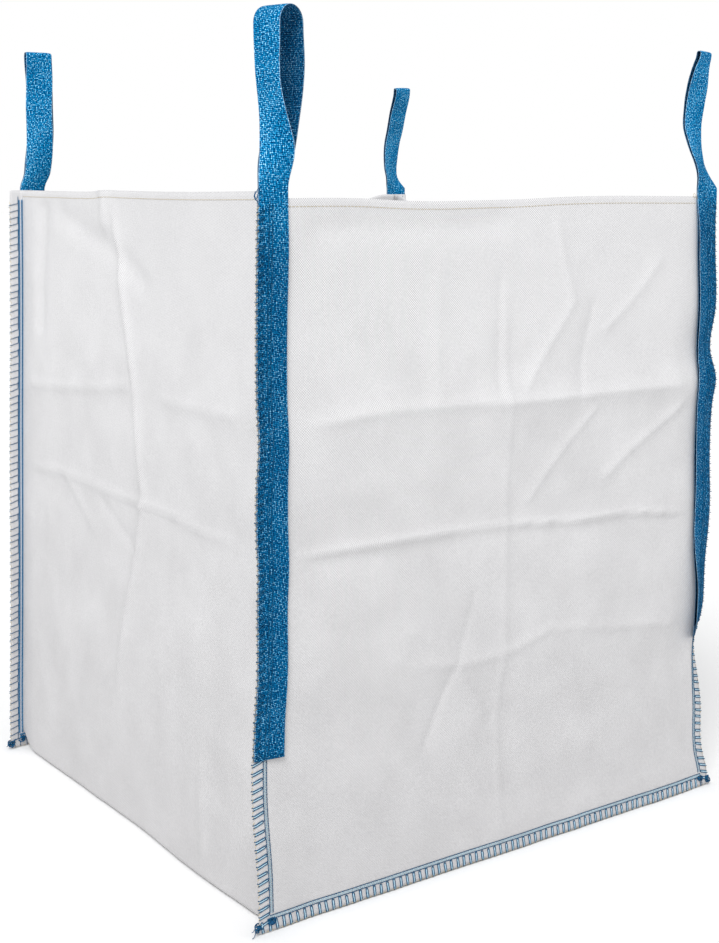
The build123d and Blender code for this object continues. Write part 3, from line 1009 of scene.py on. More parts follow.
@dataclass
class Cloth:
    """The three cloths of the body: the U panel and the two side panels."""

    form: BagForm
    wardrobe: Wardrobe
    fold_radius: float = 14.0 * MM
    ramp: float = 51.0 * MM
    hem: float = 20.0 * MM
    flat_u: tuple = (0.95, 3.06)
    flat_side: tuple = (0.95, 1.08)

    def base_height(self, y: np.ndarray) -> np.ndarray:
        """Height of the base, which climbs over the ramp from the floor to the bottom seams."""
        seam = self.form.bottom + self.form.seam_allowance
        return seam * np.clip((np.abs(y) - (self.form.half_depth - self.ramp)) / self.ramp, 0, 1) ** 1.6

    def u_middle(self) -> tuple:
        """Middle surface of the U panel on the square form.

        The first parameter runs down the left wall, round the base fold, over the base and up the right
        wall. The second runs from the front raw edge in to the seam, across the cloth, and out to the
        rear raw edge. A point on a seam allowance is that share of the way from the seam to a square
        cornered raw edge.

        Returns:
            Points (rows, cols, 3) and pattern coordinates (rows, cols, 2).
        """
        form, r = self.form, self.fold_radius
        fine = spread((1.0, 150), (0.0, 0))[:-1]
        coarse = spread((0.0, 90), (1.0, 0))[1:]
        arc = np.linspace(0.0, 1.0, 9)
        base = spread((-1.0, 34), (1.0, 0))[1:-1]
        zeros = np.zeros_like
        h = np.concatenate([fine, zeros(arc), zeros(base), zeros(arc), coarse])[:, None]
        turn = np.concatenate([zeros(fine), arc, zeros(base) + 1, arc[::-1], zeros(coarse)])[:, None]
        left, right = np.zeros(len(fine) + len(arc)) - 1, np.zeros(len(arc) + len(coarse)) + 1
        b = np.concatenate([left, base, right])[:, None]
        side = np.sign(b)

        lip = form.half_depth - 1.5 * form.layer
        inner = spread((-lip, 1), (-lip + 1.0 * MM, 1), (-lip + 3.0 * MM, 2), (-lip + 12 * MM, 9),
                       (-0.36, 114), (0.36, 9), (lip - 12 * MM, 2), (lip - 3.0 * MM, 1), (lip - 1.0 * MM, 1),
                       (lip, 0))
        out = np.linspace(1.0, 0.0, 6)[:-1]
        y = np.concatenate([zeros(out) - lip, inner, zeros(out) + lip])[None, :]
        f = np.concatenate([out, zeros(inner), out[::-1]])[None, :]
        sunk = ease((lip - np.abs(y)) / (3.0 * MM)) * form.layer / 2

        angle = turn * math.pi / 2
        low = self.base_height(y)
        x = b * (form.half_width - r) + side * (r - sunk) * np.cos(angle)
        rim = np.where(b < 0, form.rim(Side.LEFT), form.rim(Side.RIGHT))
        z = low + sunk * np.sin(angle) + r * (1 - np.sin(angle)) + h * (rim - low - r)

        wide = form.seam_allowance
        gather = 0.1
        drop = wide * np.clip(1 - (z - low - r) / gather, 0, 1)
        reach = wide * np.clip((np.abs(x) - form.half_width + r + gather) / gather, 0, 1)
        square = r + form.bottom
        corner_z = form.bottom + (square - form.bottom) * np.clip(1 - 2 * turn, 0, 1)
        corner_x = form.raw_edge - (square - form.bottom) * np.clip(2 * turn - 1, 0, 1)
        edge_z = np.where(turn == 0, z - drop, corner_z)
        edge_x = np.where(turn == 1, x + np.sign(x) * reach, side * corner_x)
        edge_x = np.where(turn == 0, side * form.raw_edge, edge_x)
        edge_z = np.where(turn == 1, form.bottom, edge_z)
        x, z = x + f * (edge_x - x), z + f * (edge_z - z)
        points = np.stack(np.broadcast_arrays(x, y, z), -1)
        along = np.concatenate([[0], np.cumsum(np.linalg.norm(np.diff(points[:, 90], axis=0), axis=1))])
        across = (y + np.sign(y) * f * wide)
        return points, np.stack(np.broadcast_arrays(along[:, None], across), -1)

    def build_u_panel(self) -> bpy.types.Object:
        """Builds the U panel, with a hem inside each wall's rim.

        Returns:
            The piece.
        """
        form = self.form
        shell = Shell()
        middle, pattern = self.u_middle()
        closed_sheet(shell, form.settle(middle), form.cloth, pattern)
        across = np.linspace(-1, 1, 150)[None, :] * (form.half_depth - 4.5 * MM)
        for side in Side:
            up = np.linspace(form.rim(side) - self.hem, form.rim(side) - 0.5 * MM, 5)[:, None]
            x = side.value * (form.half_width - 1.8 * form.layer)
            points = np.stack(np.broadcast_arrays(x, across, up), -1)
            closed_sheet(shell, form.settle(points), form.cloth, points[..., [2, 1]])
        piece = self.wardrobe.dress(shell.build("u_panel_cloth"), Finish.CLOTH)
        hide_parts("u_panel")
        return piece

    def build_side_panel(self, face: Face) -> bpy.types.Object:
        """A side panel and its hem.

        Args:
            face: Which one.

        Returns:
            The piece.
        """
        form = self.form
        shell = Shell()
        step = 5.5 * MM if face is Face.FRONT else 8.0 * MM
        across = np.linspace(-form.raw_edge, form.raw_edge, int(2 * form.raw_edge / step))[None, :]
        up = np.linspace(form.bottom, form.side_rim, int(form.side_rim / step))[:, None]
        y = face.value * (form.half_depth - form.layer / 2)
        points = np.stack(np.broadcast_arrays(across, y, up), -1)
        closed_sheet(shell, form.settle(points), form.cloth, points[..., [2, 0]])
        across = np.linspace(-1, 1, int(1.8 * form.half_width / step))[None, :] * (form.half_width - 4.5 * MM)
        up = np.linspace(form.side_rim - self.hem, form.side_rim - 0.5 * MM, 5)[:, None]
        y = face.value * (form.half_depth - 1.8 * form.layer)
        points = np.stack(np.broadcast_arrays(across, y, up), -1)
        closed_sheet(shell, form.settle(points), form.cloth, points[..., [2, 0]])
        name = face.name.lower()
        piece = self.wardrobe.dress(shell.build(f"{name}_side_cloth"), Finish.CLOTH)
        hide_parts(f"{name}_side_panel")
        return piece

    def build(self) -> list:
        """Returns:
            The pieces.
        """
        u_panel = self.build_u_panel()
        sides = [self.build_side_panel(face) for face in Face]
        [s.name for s in sides]
        for side in sides:
            u_panel.name
        return [u_panel, *sides]


# ------------------------------------------------------------------ webbing

@dataclass
class Strap:
    """One lifting strap: outer leg, free loop and inner leg in a single ribbon.

    Lengths in metres. turn holds (share of the loop's rise, degrees about Z) marks, and sway_x and sway_y
    (share, mm) marks of its middle line. leg_lift is how far the edge away from the seam has lifted off the
    panel, and slant how much lower the outer leg's cut runs at that edge.
    """

    side: Side
    face: Face
    inset: float
    outer_end: float
    inner_end: float
    height: float
    eye: float
    parted: float
    turn: tuple
    sway_x: tuple
    sway_y: tuple
    leg_lift: float
    slant: float
    seed: int
    width: float = 50.0 * MM
    thick: float = 2.0 * MM
    above_rim: float = 3.0 * MM
    foot_gap: float = 0.6 * MM
    layer_gap: float = 0.4 * MM
    hang: float = 0.15 * MM
    blend_reach: float = 24.0 * MM
    leg_steps: int = 75
    loop_steps: int = 28
    across_steps: int = 15

    @property
    def name(self) -> str:
        """The strap's corner."""
        return corner_name(self.side, self.face)

    def path(self, form: BagForm) -> tuple:
        """Middle line, width direction and leg share of the ribbon.

        The legs stand upright. In the loop the middle line sways and the webbing turns about Z through
        their marks, and its two layers part by an eased share of the eye before a half circle joins them
        at the top.

        Args:
            form: The bag's form.

        Returns:
            Middle line (n, 3), width direction (n, 3) and how far each point is into a leg (n,).
        """
        fold = form.wall_rim + self.above_rim
        foot = fold + self.foot_gap
        middle_x = self.side.value * (form.raw_edge - self.inset - self.width / 2)
        plane_y = self.face.value * (form.half_depth + self.thick + self.hang)
        radius = (self.eye + self.thick) / 2
        leg_top = fold + self.height - radius - self.thick / 2
        rise = leg_top - foot
        share = np.linspace(0.0, 1.0, self.loop_steps)
        gap = self.layer_gap * ease(share / 0.15) + (self.eye - self.layer_gap) * ease(share / self.parted)
        x = middle_x + through(share, self.sway_x) * MM
        y = plane_y + through(share, self.sway_y) * MM
        turn = np.radians(through(share, self.turn))
        zero = np.zeros_like(turn)
        across = np.stack([np.cos(turn), np.sin(turn), zero], -1)
        outwards = np.stack([np.sin(turn), -np.cos(turn), zero], -1)
        spine = np.stack([x, y, foot + rise * share], -1)
        off = ((self.thick + gap) / 2)[:, None] * outwards

        arch = np.linspace(0, math.pi, 15)[1:-1, None]
        over = spine[-1] + radius * (outwards[-1] * np.cos(arch) + np.array([0, 0, 1.0]) * np.sin(arch))
        first_end, last_end = self.outer_end, self.inner_end
        if self.face is Face.REAR:
            first_end, last_end = last_end, first_end
        legs = []
        for low, layer in ((first_end, 1), (last_end, -1)):
            z = np.linspace(low, foot, self.leg_steps, endpoint=False)
            legs.append(np.stack([z * 0 + middle_x, z * 0 + plane_y - layer * self.thick / 2, z], -1))
        flat = np.tile(across[0], (self.leg_steps, 1))
        line = np.concatenate([legs[0], spine + off, over, (spine - off)[::-1], legs[1][::-1]])
        top = np.ones(len(arch))[:, None]
        width = np.concatenate([flat, across, top * across[-1], across[::-1], flat])
        inside = ease((foot - 0.02 - line[:, 2]) / 0.07)
        return line, width, inside

    def build(self, form: BagForm, wardrobe: Wardrobe) -> bpy.types.Object:
        """Carries the webbing's rounded section along the path.

        The section is a flat oval: across it runs from edge to edge and back, and its half thickness
        falls off as (1 - q^6)^(1/2) towards the two selvedges, q being -1 to 1 across the width.

        Args:
            form: The bag's form.
            wardrobe: The finishes.

        Returns:
            The piece.
        """
        line, width, inside = self.path(form)
        ahead = unit(np.gradient(line, axis=0))
        normal = np.cross(ahead, width)
        along = np.concatenate([[0], np.cumsum(np.linalg.norm(np.diff(line, axis=0), axis=1))])
        q = np.sin(np.linspace(-0.5, 0.5, self.across_steps) * math.pi)
        q = np.concatenate([q, q[-2:0:-1]])
        face_sign = np.where(np.arange(len(q)) < self.across_steps, 1.0, -1.0)
        half = (self.thick / 2 - 0.05 * MM) * np.sqrt(np.clip(1 - q ** 6, 0, 1)) * face_sign
        half[[0, self.across_steps - 1]] = 0.0
        ripple = 0.5 * MM * lattice_noise(along[:, None], q[None, :] * 0.02, 0.045, self.seed)
        loose = (1 - inside)[:, None] * ripple
        points = line[:, None] + width[:, None] * (q * self.width / 2)[None, :, None]
        points = points + normal[:, None] * (half[None, :] + loose)[..., None]
        from_edge = self.inset + (1 - q * self.side.value) / 2 * self.width
        free = np.clip(from_edge - form.seam_allowance, 0, None)[None, :]
        turn = CORNER_SAGS[self.side, self.face].angle(line[:, 2])[:, None]
        wave = 0.6 + 0.4 * lattice_noise(line[:, 2], line[:, 2] * 0, 0.12, self.seed + 1)
        plane = self.face.value * (form.half_depth + self.thick + self.hang)
        stand = np.where((line[:, 1] - plane) * self.face.value > 0, 1.6, 0.5)
        lift = self.leg_lift * (stand * wave * inside)[:, None] * free / self.width
        points[..., 1] += self.face.value * (free * np.abs(np.sin(turn)) + lift)
        points[..., 0] += self.side.value * free * (1 - np.cos(turn))
        low_end = np.clip(1 - (line[:, 2] - line[:, 2].min()) / 0.02, 0, 1) * (inside > 0)
        points[..., 2] -= self.slant * low_end[:, None] * (1 - q * self.side.value) / 2
        points = form.settle(points)
        rows, cols = points.shape[:2]
        quads = grid_quads(rows, cols, wrap=True)
        caps = np.stack([np.arange(cols)[::-1], np.arange(cols) + (rows - 1) * cols])
        across = q * self.width / 2 + INNER_FACE * (half > 0)
        pattern = np.stack(np.broadcast_arrays(along[:, None], across[None, :]), -1)
        shell = Shell()
        shell.add(points, [quads, caps], pattern)
        piece = wardrobe.dress(shell.build(f"{self.name}_strap"), Finish.WEBBING, body=None)
        f"{self.name}_loop"
        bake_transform(piece)
        parts = ("strap_outer_leg", "strap_inner_leg", "lifting_loop")
        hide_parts(*(f"{self.name}_{part}" for part in parts))
        return piece


STRAPS = (
    Strap(Side.LEFT, Face.FRONT, 0.0, 0.258, 0.258, 0.256, 0.048, 0.8,
          turn=((0, 0), (0.12, -11), (0.25, -37), (0.38, -63), (0.5, -74), (1, -74)),
          sway_x=((0, 0), (0.25, 7.5), (0.5, 12), (0.75, 12), (1, 10)), sway_y=((0, 0), (1, 0)),
          leg_lift=4.0 * MM, slant=1.0 * MM, seed=101),
    Strap(Side.RIGHT, Face.FRONT, 0.0, 0.302, 0.280, 0.238, 0.005, 1.0,
          turn=((0, 0), (0.05, 12), (0.1, 21), (0.17, 26), (0.26, 22), (0.35, 16), (0.44, 9), (0.56, 5),
                (0.8, 6), (0.88, 13), (1, 20)),
          sway_x=((0, 0), (0.05, -4), (0.1, -7), (0.17, -9), (0.26, -8), (0.35, -5), (0.44, -3), (0.56, 0),
                  (0.7, -2), (0.82, -6), (0.9, -6), (1, 1)),
          sway_y=((0, 0), (0.1, 3.2), (0.2, 11.6), (0.35, 27), (0.5, 35), (0.65, 30.4), (0.8, 18.8),
                  (0.9, 12.8), (1, 12)),
          leg_lift=9.0 * MM, slant=6.0 * MM, seed=103),
    Strap(Side.LEFT, Face.REAR, 0.022, 0.250, 0.250, 0.257, 0.014, 0.3,
          turn=((0, 0), (0.2, -14), (0.4, -28), (0.6, -31), (0.8, -22), (1, -8)),
          sway_x=((0, 0), (0.1, 9.7), (0.2, 13.5), (0.31, 16.7), (0.41, 18), (0.62, 17.5), (0.82, 18),
                  (1, 16)),
          sway_y=((0, 0), (1, 0)), leg_lift=3.0 * MM, slant=2.0 * MM, seed=107),
    Strap(Side.RIGHT, Face.REAR, 0.0, 0.245, 0.245, 0.222, 0.005, 1.0,
          turn=((0, 0), (0.05, 15), (0.1, 24), (0.2, 23), (0.3, 19), (0.45, 15), (0.6, 13), (1, 14)),
          sway_x=((0, 0), (0.04, -5), (0.1, -10), (0.18, -12), (0.28, -10), (0.37, -7), (0.46, -3.5),
                  (0.56, 0.7), (0.74, 2), (1, 3)),
          sway_y=((0, 0), (0.1, 1.1), (0.25, 5.9), (0.5, 9.5), (0.75, -3.1), (1, -18)),
          leg_lift=4.0 * MM, slant=2.0 * MM, seed=109),
)


# ------------------------------------------------------------------ thread

@dataclass
class Seam:
    """A place to sew along: an upright seam at a corner, or a bottom seam."""

    form: BagForm
    face: Face
    strap: Strap | None = None

    @property
    def name(self) -> str:
        """The seam's name."""
        return self.strap.name if self.strap else f"{self.face.name.lower()}_bottom"

    def layers(self, inward: np.ndarray, along: np.ndarray) -> np.ndarray:
        """Layers of webbing under a point, rising over 3 mm at each leg's cut end.

        Args:
            inward: Distance in from the raw edge.
            along: Distance along the seam.

        Returns:
            0 to 2.
        """
        if self.strap is None:
            return np.zeros(np.broadcast(inward, along).shape)
        strap = self.strap
        reach = np.clip(inward, strap.inset, None) if strap.inset == 0 else inward
        covered = (reach >= strap.inset) & (reach < strap.inset + strap.width)
        steps = sum(ease((along - end + 1.5 * MM) / (3 * MM)) for end in (strap.outer_end, strap.inner_end))
        return covered * steps

    def place(self, inward: np.ndarray, outward: np.ndarray, along: np.ndarray) -> np.ndarray:
        """Points beside the seam, settled.

        Args:
            inward: Distance in from the raw edge.
            outward: Distance out from the side panel's outer face, without webbing.
            along: Height for an upright seam, X for a bottom seam.

        Returns:
            (..., 3) points.
        """
        form = self.form
        y = self.face.value * (form.half_depth + outward)
        if self.strap:
            x, z = self.strap.side.value * (form.raw_edge - inward), along
        else:
            x, z = along, form.bottom + inward
        return form.settle(np.stack(np.broadcast_arrays(x, y, z), -1))

    def on_front(self, inward: np.ndarray, lift: float, along: np.ndarray) -> np.ndarray:
        """Points on the side panel's face of the seam, over any webbing."""
        over = self.layers(inward, along) * (self.strap.thick if self.strap else 0.0)
        over = over + (over > 0) * (self.strap.hang if self.strap else 0.0)
        return self.place(inward, over + lift, along)

    def on_back(self, inward: np.ndarray, lift: float, along: np.ndarray) -> np.ndarray:
        """Points on the U panel's face of the seam."""
        return self.place(inward, -2 * self.form.layer - lift, along)


@dataclass
class Sewing:
    """Every thread of the bag: overlock, needle lines, seam chains, hems and tied-off ends."""

    form: BagForm
    wardrobe: Wardrobe
    overlock_pitch: float = 12.5 * MM
    overlock_reach: float = 16.0 * MM
    overlock_on_webbing: float = 10.0 * MM
    overlock_below_rim: float = 10.0 * MM
    hairpin: float = 3.5 * MM
    hairpin_slant: float = 4.6 * MM
    needle_line: float = 17.4 * MM
    seam_line: float = 23.2 * MM
    stitch_below_rim: float = 8.0 * MM
    hem_stitch: float = 12.0 * MM
    bar_thread: float = 0.62 * MM
    thread: float = 0.55 * MM
    fine_thread: float = 0.38 * MM
    knot_radius: float = 8.5 * MM

    def seams(self) -> list:
        """The four upright seams and the two bottom ones."""
        upright = [Seam(self.form, strap.face, strap) for strap in STRAPS]
        return upright + [Seam(self.form, face) for face in Face]

    def reach_along(self, seam: Seam, top_gap: float, low: float) -> tuple:
        """Where a line of stitches starts and stops along a seam.

        Args:
            seam: The seam.
            top_gap: How far below the rim an upright one stops.
            low: How far in from the raw corner it starts.

        Returns:
            First and last place.
        """
        if seam.strap:
            return self.form.bottom + low, self.form.side_rim - top_gap
        return low - self.form.raw_edge, self.form.raw_edge - low

    def stitch_starts(self, seam: Seam, seed: int) -> tuple:
        """Where the overlock stitches of a seam start, how far they reach and how they slant.

        Args:
            seam: The seam.
            seed: Seed of the scatter.

        Returns:
            Start (n, 1), reach (n, 1) and slant (n, 1), in metres.
        """
        rng = np.random.default_rng(seed)
        first, last = self.reach_along(seam, self.overlock_below_rim, 8 * MM if seam.strap else 4 * MM)
        count = int((last - first) / self.overlock_pitch)
        start = np.linspace(first, last, count, endpoint=False)[:, None]
        start = start + rng.uniform(-0.8, 0.8, (count, 1)) * MM
        webbed = seam.layers(np.zeros_like(start), start) > 0
        reach = np.where(webbed, self.overlock_on_webbing, self.overlock_reach)
        reach = reach * rng.uniform(0.93, 1.06, (count, 1))
        slant = self.hairpin_slant * (1.0 if seam.strap else -0.6) * rng.uniform(0.7, 1.2, (count, 1))
        return start, reach, slant

    def overlock_paths(self, seam: Seam, seed: int) -> np.ndarray:
        """Overlock thread: a slanting hairpin in front, then round the edge and a bar and run behind.

        Each stitch is a smooth line through fourteen places, given as a share of the reach inward and as
        millimetres along the seam, to which the slant adds its own share of the reach.

        Args:
            seam: The seam.
            seed: Seed of the scatter.

        Returns:
            (stitches, points, 3) lines.
        """
        rng = np.random.default_rng(seed + 1000)
        start, reach, slant = self.stitch_starts(seam, seed)
        edge_out = 0.5 * MM if seam.strap is None else rng.uniform(0.9, 2.3, (len(start), 1)) * MM
        wide = self.hairpin / MM
        inward = np.array([[0.0, 0.12, 0.5, 0.93, 1.03, 0.97, 0.5, 0.12, 0.0, 0.1, 0.5, 0.93, 0.95, 0.95]])
        pin = [0, 0, 0, 0, 0.5 * wide, wide, wide, wide]
        behind = [wide, wide, wide, wide, 7, self.overlock_pitch / MM + wide]
        along = np.array([pin + behind])
        edge = inward == 0.0
        place = start + along * MM + inward * slant + rng.uniform(-0.2, 0.2, (len(start), 14)) * MM * ~edge
        across = np.where(edge, -edge_out, inward * reach)
        front = seam.on_front(across, self.bar_thread, place)
        back = seam.on_back(across, self.bar_thread, place)
        lines = np.concatenate([front[:, :8], (front[:, 8:9] + back[:, 8:9]) / 2, back[:, 9:]], axis=1)
        return np.stack([resample(line, 22) for line in lines])

    def dashes(self, points: Callable, first: float, last: float, pitch: float, length: float,
               bend: float) -> np.ndarray:
        """Short stitches along a line: each rises from the cloth and dips back as a flat half sine.

        Args:
            points: Function of places along the line and a lift off the cloth, giving points.
            first: Start of the line.
            last: End of the line.
            pitch: From stitch to stitch.
            length: Length of a stitch.
            bend: Height of its middle off the cloth.

        Returns:
            (stitches, 5, 3) lines.
        """
        count = max(int((last - first) / pitch), 1)
        t = np.linspace(0, 1, 5)[None, :]
        along = np.linspace(first, last - length, count)[:, None] + t * length
        return points(along, bend * np.sin(math.pi * t) + 0 * along)

    def build_overlock(self, seam: Seam, seed: int) -> bpy.types.Object:
        """The overlock thread of one seam, and the long dashes of its two stitch lines in front.

        Args:
            seam: The seam.
            seed: Seed of its scatter.

        Returns:
            The piece.
        """
        shell = Shell()
        shell.add_tubes(self.overlock_paths(seam, seed), self.bar_thread, 4)
        first, last = self.seam_span(seam)
        for line, pitch in self.lines():
            def over(a: np.ndarray, b: np.ndarray, u: float = line) -> np.ndarray:
                """Points of this line in front."""
                return seam.on_front(a * 0 + u, b + 0.2 * MM, a)

            front = self.dashes(over, first, last, pitch, pitch * 0.93, 0.4 * MM)
            shell.add_tubes(front, self.thread, 4)
        if seam.name == "front_left":
            top = self.form.side_rim + np.array([-10, -3.0, 4.0, 9.0, 14.0, 12.0, 5.0, -2.0, 3.0, 10.0]) * MM
            inward = np.array([1.0, -4.0, -7.0, -4.5, -1.0, 1.5, -2.0, -5.5, -8.0, -6.0]) * MM
            curl = seam.on_front(inward, 0.9 * MM, top)
            shell.add_tubes(resample(curl, 60)[None], self.thread, 5)
        piece = self.wardrobe.dress(shell.build(f"{seam.name}_overlock_thread"), Finish.OVERLOCK)
        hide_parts(f"{seam.name}_overlock")
        return piece

    def build_edge_loops(self, seam: Seam, seed: int) -> bpy.types.Object:
        """The pale looper thread that runs along a raw edge, weaving from face to face.

        Args:
            seam: The seam.
            seed: Seed of its scatter.

        Returns:
            The piece.
        """
        rng = np.random.default_rng(seed)
        first, last = self.reach_along(seam, self.overlock_below_rim, 4 * MM)
        along = np.arange(first, last, 2.1 * MM)
        swing = np.sin(np.arange(len(along)) * math.pi / 2) + rng.uniform(-0.2, 0.2, len(along))
        inward = 0.3 * MM - 0.7 * MM * np.cos(np.arange(len(along)) * math.pi / 2)
        inward = inward if seam.strap else np.clip(inward, 0.2 * MM, None)
        over = seam.layers(np.zeros_like(along), along) * (seam.strap.thick if seam.strap else 0)
        outward = -self.form.layer + over / 2 + swing * (self.form.layer + 0.5 * MM + over / 2)
        shell = Shell()
        shell.add_tubes(seam.place(inward, outward, along)[None], self.thread, 5)
        if seam.name == "front_right":
            top = self.form.side_rim + np.array([-8.0, -3.0, 2.0, 5.0, 1.0, -3.0]) * MM
            inward = np.array([46.0, 50.0, 53.0, 57.0, 58.0, 54.0]) * MM
            loose = resample(seam.place(inward, top * 0 + 1.6 * MM, top), 24)
            shell.add_tubes(loose[None], self.fine_thread, 5)
        return self.wardrobe.dress(shell.build(f"{seam.name}_edge_thread"), Finish.PALE)

    def build_seam_stitch(self, seam: Seam) -> bpy.types.Object:
        """The double chains of one seam's two stitch lines, on the face behind.

        Args:
            seam: The seam.

        Returns:
            The piece.
        """
        first, last = self.seam_span(seam)
        shell = Shell()
        for line, pitch in self.lines():
            for off in (-0.9 * MM, 0.9 * MM):
                def behind(a: np.ndarray, b: np.ndarray, u: float = line + off) -> np.ndarray:
                    """Points of one side of this chain."""
                    return seam.on_back(a * 0 + u, b + 0.2 * MM, a)

                back = self.dashes(behind, first, last, pitch, pitch * 0.97, 0.5 * MM)
                shell.add_tubes(back, self.bar_thread, 4)
        piece = self.wardrobe.dress(shell.build(f"{seam.name}_seam_thread"), Finish.SEAM)
        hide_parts(f"{seam.name}_seam_stitch")
        return piece

    def lines(self) -> tuple:
        """Place in from the raw edge and stitch length of the needle line and of the closing chain."""
        return (self.needle_line, 6.2 * MM), (self.seam_line, 7.5 * MM)

    def seam_span(self, seam: Seam) -> tuple:
        """First and last place of a seam's two stitch lines, clear of the crossing seam."""
        low = self.form.seam_allowance + 1.6 * MM if seam.strap else self.needle_line
        return self.reach_along(seam, self.stitch_below_rim, low)

    def build_cover(self, seam: Seam, seed: int) -> bpy.types.Object:
        """The pale looper thread in front: a tight zigzag between the stitch lines, and a filling thread
        inside each overlock hairpin.

        Args:
            seam: The seam.
            seed: Seed of the overlock's scatter.

        Returns:
            The piece.
        """
        first, last = self.seam_span(seam)
        last = seam.strap.outer_end if seam.strap else last
        shell = Shell()
        along = np.arange(first, last, 0.9 * MM)
        swing = 0.5 + 0.5 * np.cos(np.arange(len(along)) * math.pi / 2)
        inward = self.needle_line + 0.9 * MM + swing * (self.seam_line - self.needle_line - 1.8 * MM)
        shell.add_tubes(seam.on_front(inward, 0.4 * MM, along)[None], 0.5 * MM, 4)
        stitches = self.stitch_starts(seam, seed)
        start, reach, slant = (part[stitches[0][:, 0] < last] for part in stitches)
        share = np.linspace(0.04, 0.9, 4)[None, :]
        fill = seam.on_front(share * reach, 0.5 * MM, start + self.hairpin / 2 + share * slant)
        shell.add_tubes(fill, 0.9 * MM, 4)
        return self.wardrobe.dress(shell.build(f"{seam.name}_cover_thread"), Finish.COVER)

    def build_hem_stitch(self, name: str, points: Callable, first: float, last: float) -> bpy.types.Object:
        """A hem's lockstitch on the outer face.

        Args:
            name: Which rim.
            points: Function of places along the rim and a lift off the cloth, giving points.
            first: Start of the line.
            last: End of the line.

        Returns:
            The piece.
        """
        shell = Shell()
        shell.add_tubes(self.dashes(points, first, last, 6.5 * MM, 4.6 * MM, 0.4 * MM), self.fine_thread, 5)
        piece = self.wardrobe.dress(shell.build(f"{name}_hem_thread"), Finish.PALE)
        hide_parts(f"{name}_hem_stitch")
        return piece

    def build_hem_stitches(self) -> None:
        """The four hems' stitches."""
        form = self.form
        for face in Face:
            height = form.side_rim - self.hem_stitch

            def on_side(a: np.ndarray, b: np.ndarray, face: Face = face,
                        height: float = height) -> np.ndarray:
                """Points on a side panel's outer face."""
                y = face.value * (form.half_depth + b)
                return form.settle(np.stack(np.broadcast_arrays(a, y, height), -1))

            low, high = form.strap_reach[Side.LEFT, face], form.strap_reach[Side.RIGHT, face]
            self.build_hem_stitch(face.name.lower(), on_side, -low + 2 * MM, high - 2 * MM)
        for side in Side:
            height = form.rim(side) - self.hem_stitch

            def on_wall(a: np.ndarray, b: np.ndarray, side: Side = side,
                        height: float = height) -> np.ndarray:
                """Points on a wall's outer face."""
                x = side.value * (form.half_width + b)
                return form.settle(np.stack(np.broadcast_arrays(x, a, height), -1))

            reach = form.half_depth - 4 * MM
            self.build_hem_stitch(side.name.lower(), on_wall, -reach, reach)

    def build_knot(self, side: Side, face: Face, seed: int) -> bpy.types.Object:
        """The tied-off thread at a bottom corner: a tangle at the raw corner, one where the seams cross,
        and loose tails.

        The tangle's direction is a sum of three turning waves with different rates, and its distance
        from the middle swings between half and the whole radius.

        Args:
            side: Which wall.
            face: Which side panel.
            seed: Seed of the winding.

        Returns:
            The piece.
        """
        rng = np.random.default_rng(seed)
        form = self.form
        shell = Shell()
        y = face.value * (form.half_depth - form.layer)
        height = form.bottom + self.knot_radius
        crossing = form.raw_edge - 0.8 * form.seam_allowance
        for middle_x, flat in ((form.raw_edge + 0.5 * MM, 1.0), (crossing, 0.8)):
            middle = np.array([side.value * middle_x, y, height + (1 - flat) * 30 * MM])
            t = np.linspace(0, 1, 170)
            rate, phase = rng.uniform(3.5, 9.5, 6), rng.uniform(0, TAU, 6)
            waves = np.sin(TAU * rate[:, None] * t + phase[:, None])
            ball = unit(waves[:3].T + 0.4 * waves[3:].T)
            size = self.knot_radius * (0.62 + 0.3 * np.sin(TAU * 3.3 * t))[:, None]
            shell.add_tubes((middle + ball * size * np.array([1.0, 0.75, flat]))[None], 1.0 * MM, 5)
        middle = np.array([side.value * (form.raw_edge + 0.5 * MM), y, height])
        for _ in range(3):
            lean = rng.uniform(-1, 1, 3)
            out = np.array([side.value * 0.8, 0.5 * lean[1], 0.35 * lean[2]])
            length = rng.uniform(9, 17) * MM
            s = np.linspace(0, 1, 6)[:, None]
            tail = middle + out * length * s + np.array([0, 0, -1.0]) * s ** 2 * 6 * MM
            tail = tail + rng.uniform(-1.2, 1.2, (6, 3)) * MM * s
            tail[:, 2] = np.maximum(tail[:, 2], 0.8 * MM)
            shell.add_tubes(resample(tail, 16)[None], 0.55 * MM, 5)
        name = corner_name(side, face)
        piece = self.wardrobe.dress(shell.build(f"{name}_knot_thread"), Finish.KNOT)
        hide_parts(f"{name}_thread_knot")
        return piece

    def build(self) -> None:
        """Sews everything."""
        for n, seam in enumerate(self.seams()):
            self.build_overlock(seam, 200 + n)
            self.build_edge_loops(seam, 220 + n)
            self.build_seam_stitch(seam)
            self.build_cover(seam, 200 + n)
        self.build_hem_stitches()
        for n, (side, face) in enumerate(CORNER_SAGS):
            self.build_knot(side, face, 240 + n)


# ------------------------------------------------------------------ studio

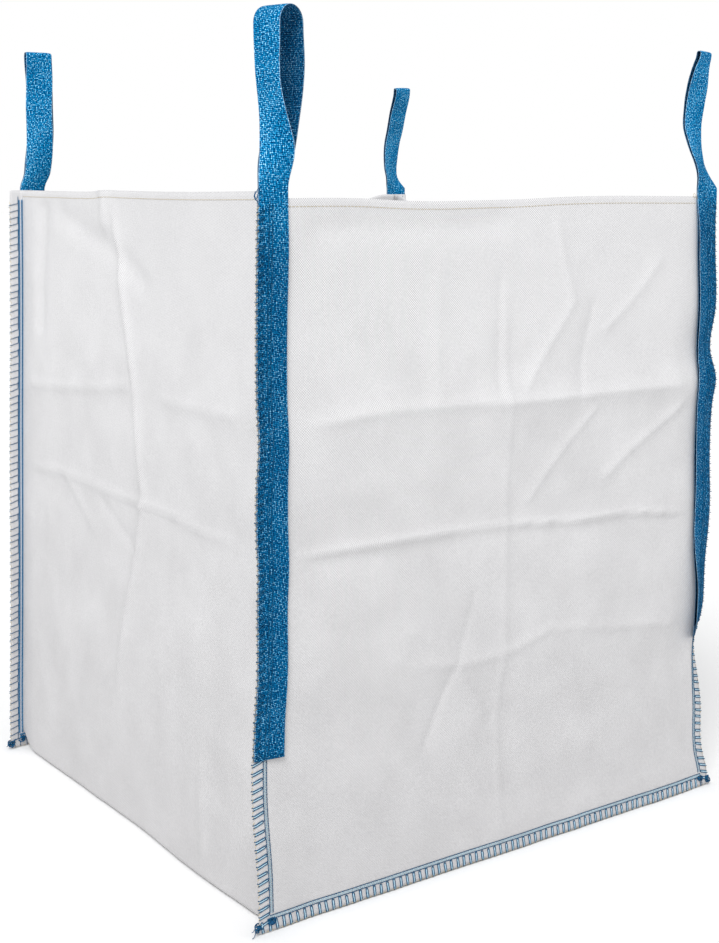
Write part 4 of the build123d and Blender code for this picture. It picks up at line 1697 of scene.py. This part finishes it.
@dataclass(frozen=True)
class Studio:
    """Pale floor, white surround, one broad soft key and the camera."""

    camera_at: tuple = (-1.5894, -2.2473, 1.0772)
    heading: float = 35.704
    dip: float = 4.318
    lens: float = 57.80
    shift_y: float = -0.18
    surround: float = 0.62
    key: float = 2.1
    key_turn: tuple = (40.0, 0.0, -47.0)
    key_angle: float = 28.0

    def build_floor(self) -> None:
        """A large round floor, a fan of triangles about its middle."""
        turn = TAU * np.arange(96) / 96
        points = np.stack([60 * np.cos(turn), 60 * np.sin(turn), turn * 0], -1)
        shell = Shell()
        shell.add(points, [np.arange(96)[None]])
        floor = shell.build("studio_floor", flat=True)
        floor.data.materials.append(FloorFinish().make())

    def build_lights(self) -> None:
        """A white surround that the camera sees at full strength, and a broad sun as the key."""
        world = bpy.data.worlds.new("studio")
        bpy.context.scene.world = world
        world.use_nodes = True
        tree = world.node_tree
        tree.nodes.clear()
        seen, lit = (tree.nodes.new("ShaderNodeBackground") for _ in range(2))
        seen.inputs["Color"].default_value = (1.0, 1.0, 1.0, 1.0)
        lit.inputs["Color"].default_value = (0.985, 0.992, 1.0, 1.0)
        lit.inputs["Strength"].default_value = self.surround
        path = tree.nodes.new("ShaderNodeLightPath")
        mix = tree.nodes.new("ShaderNodeMixShader")
        output = tree.nodes.new("ShaderNodeOutputWorld")
        tree.links.new(path.outputs["Is Camera Ray"], mix.inputs[0])
        tree.links.new(lit.outputs[0], mix.inputs[1])
        tree.links.new(seen.outputs[0], mix.inputs[2])
        tree.links.new(mix.outputs[0], output.inputs["Surface"])
        data = bpy.data.lights.new("key", "SUN")
        data.energy = self.key
        data.angle = math.radians(self.key_angle)
        key = bpy.data.objects.new("key", data)
        key.rotation_euler = tuple(math.radians(a) for a in self.key_turn)
        bpy.context.scene.collection.objects.link(key)

    def build_camera(self) -> None:
        """The camera, a little above the rim and turned towards the near corner."""
        data = bpy.data.cameras.new("view")
        data.lens = self.lens
        data.shift_y = self.shift_y
        camera = bpy.data.objects.new("view", data)
        camera.location = self.camera_at
        camera.rotation_euler = (math.radians(90 - self.dip), 0.0, math.radians(-self.heading))
        bpy.context.scene.collection.objects.link(camera)
        bpy.context.scene.camera = camera

    def build(self) -> None:
        """Sets the stage."""
        self.build_floor()
        self.build_lights()
        self.build_camera()
        bpy.context.scene.view_settings.view_transform = "Standard"


# ------------------------------------------------------------------ making it


def main() -> None:
    """Builds the bag about the frame."""
    logging.basicConfig(level=logging.INFO, format="%(message)s")
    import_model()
    form = BagForm()
    wardrobe = Wardrobe()
    Cloth(form, wardrobe).build()
    for strap in STRAPS:
        strap.build(form, wardrobe)
    Sewing(form, wardrobe).build()
    Studio().build()


if __name__ == "__main__":
    main()
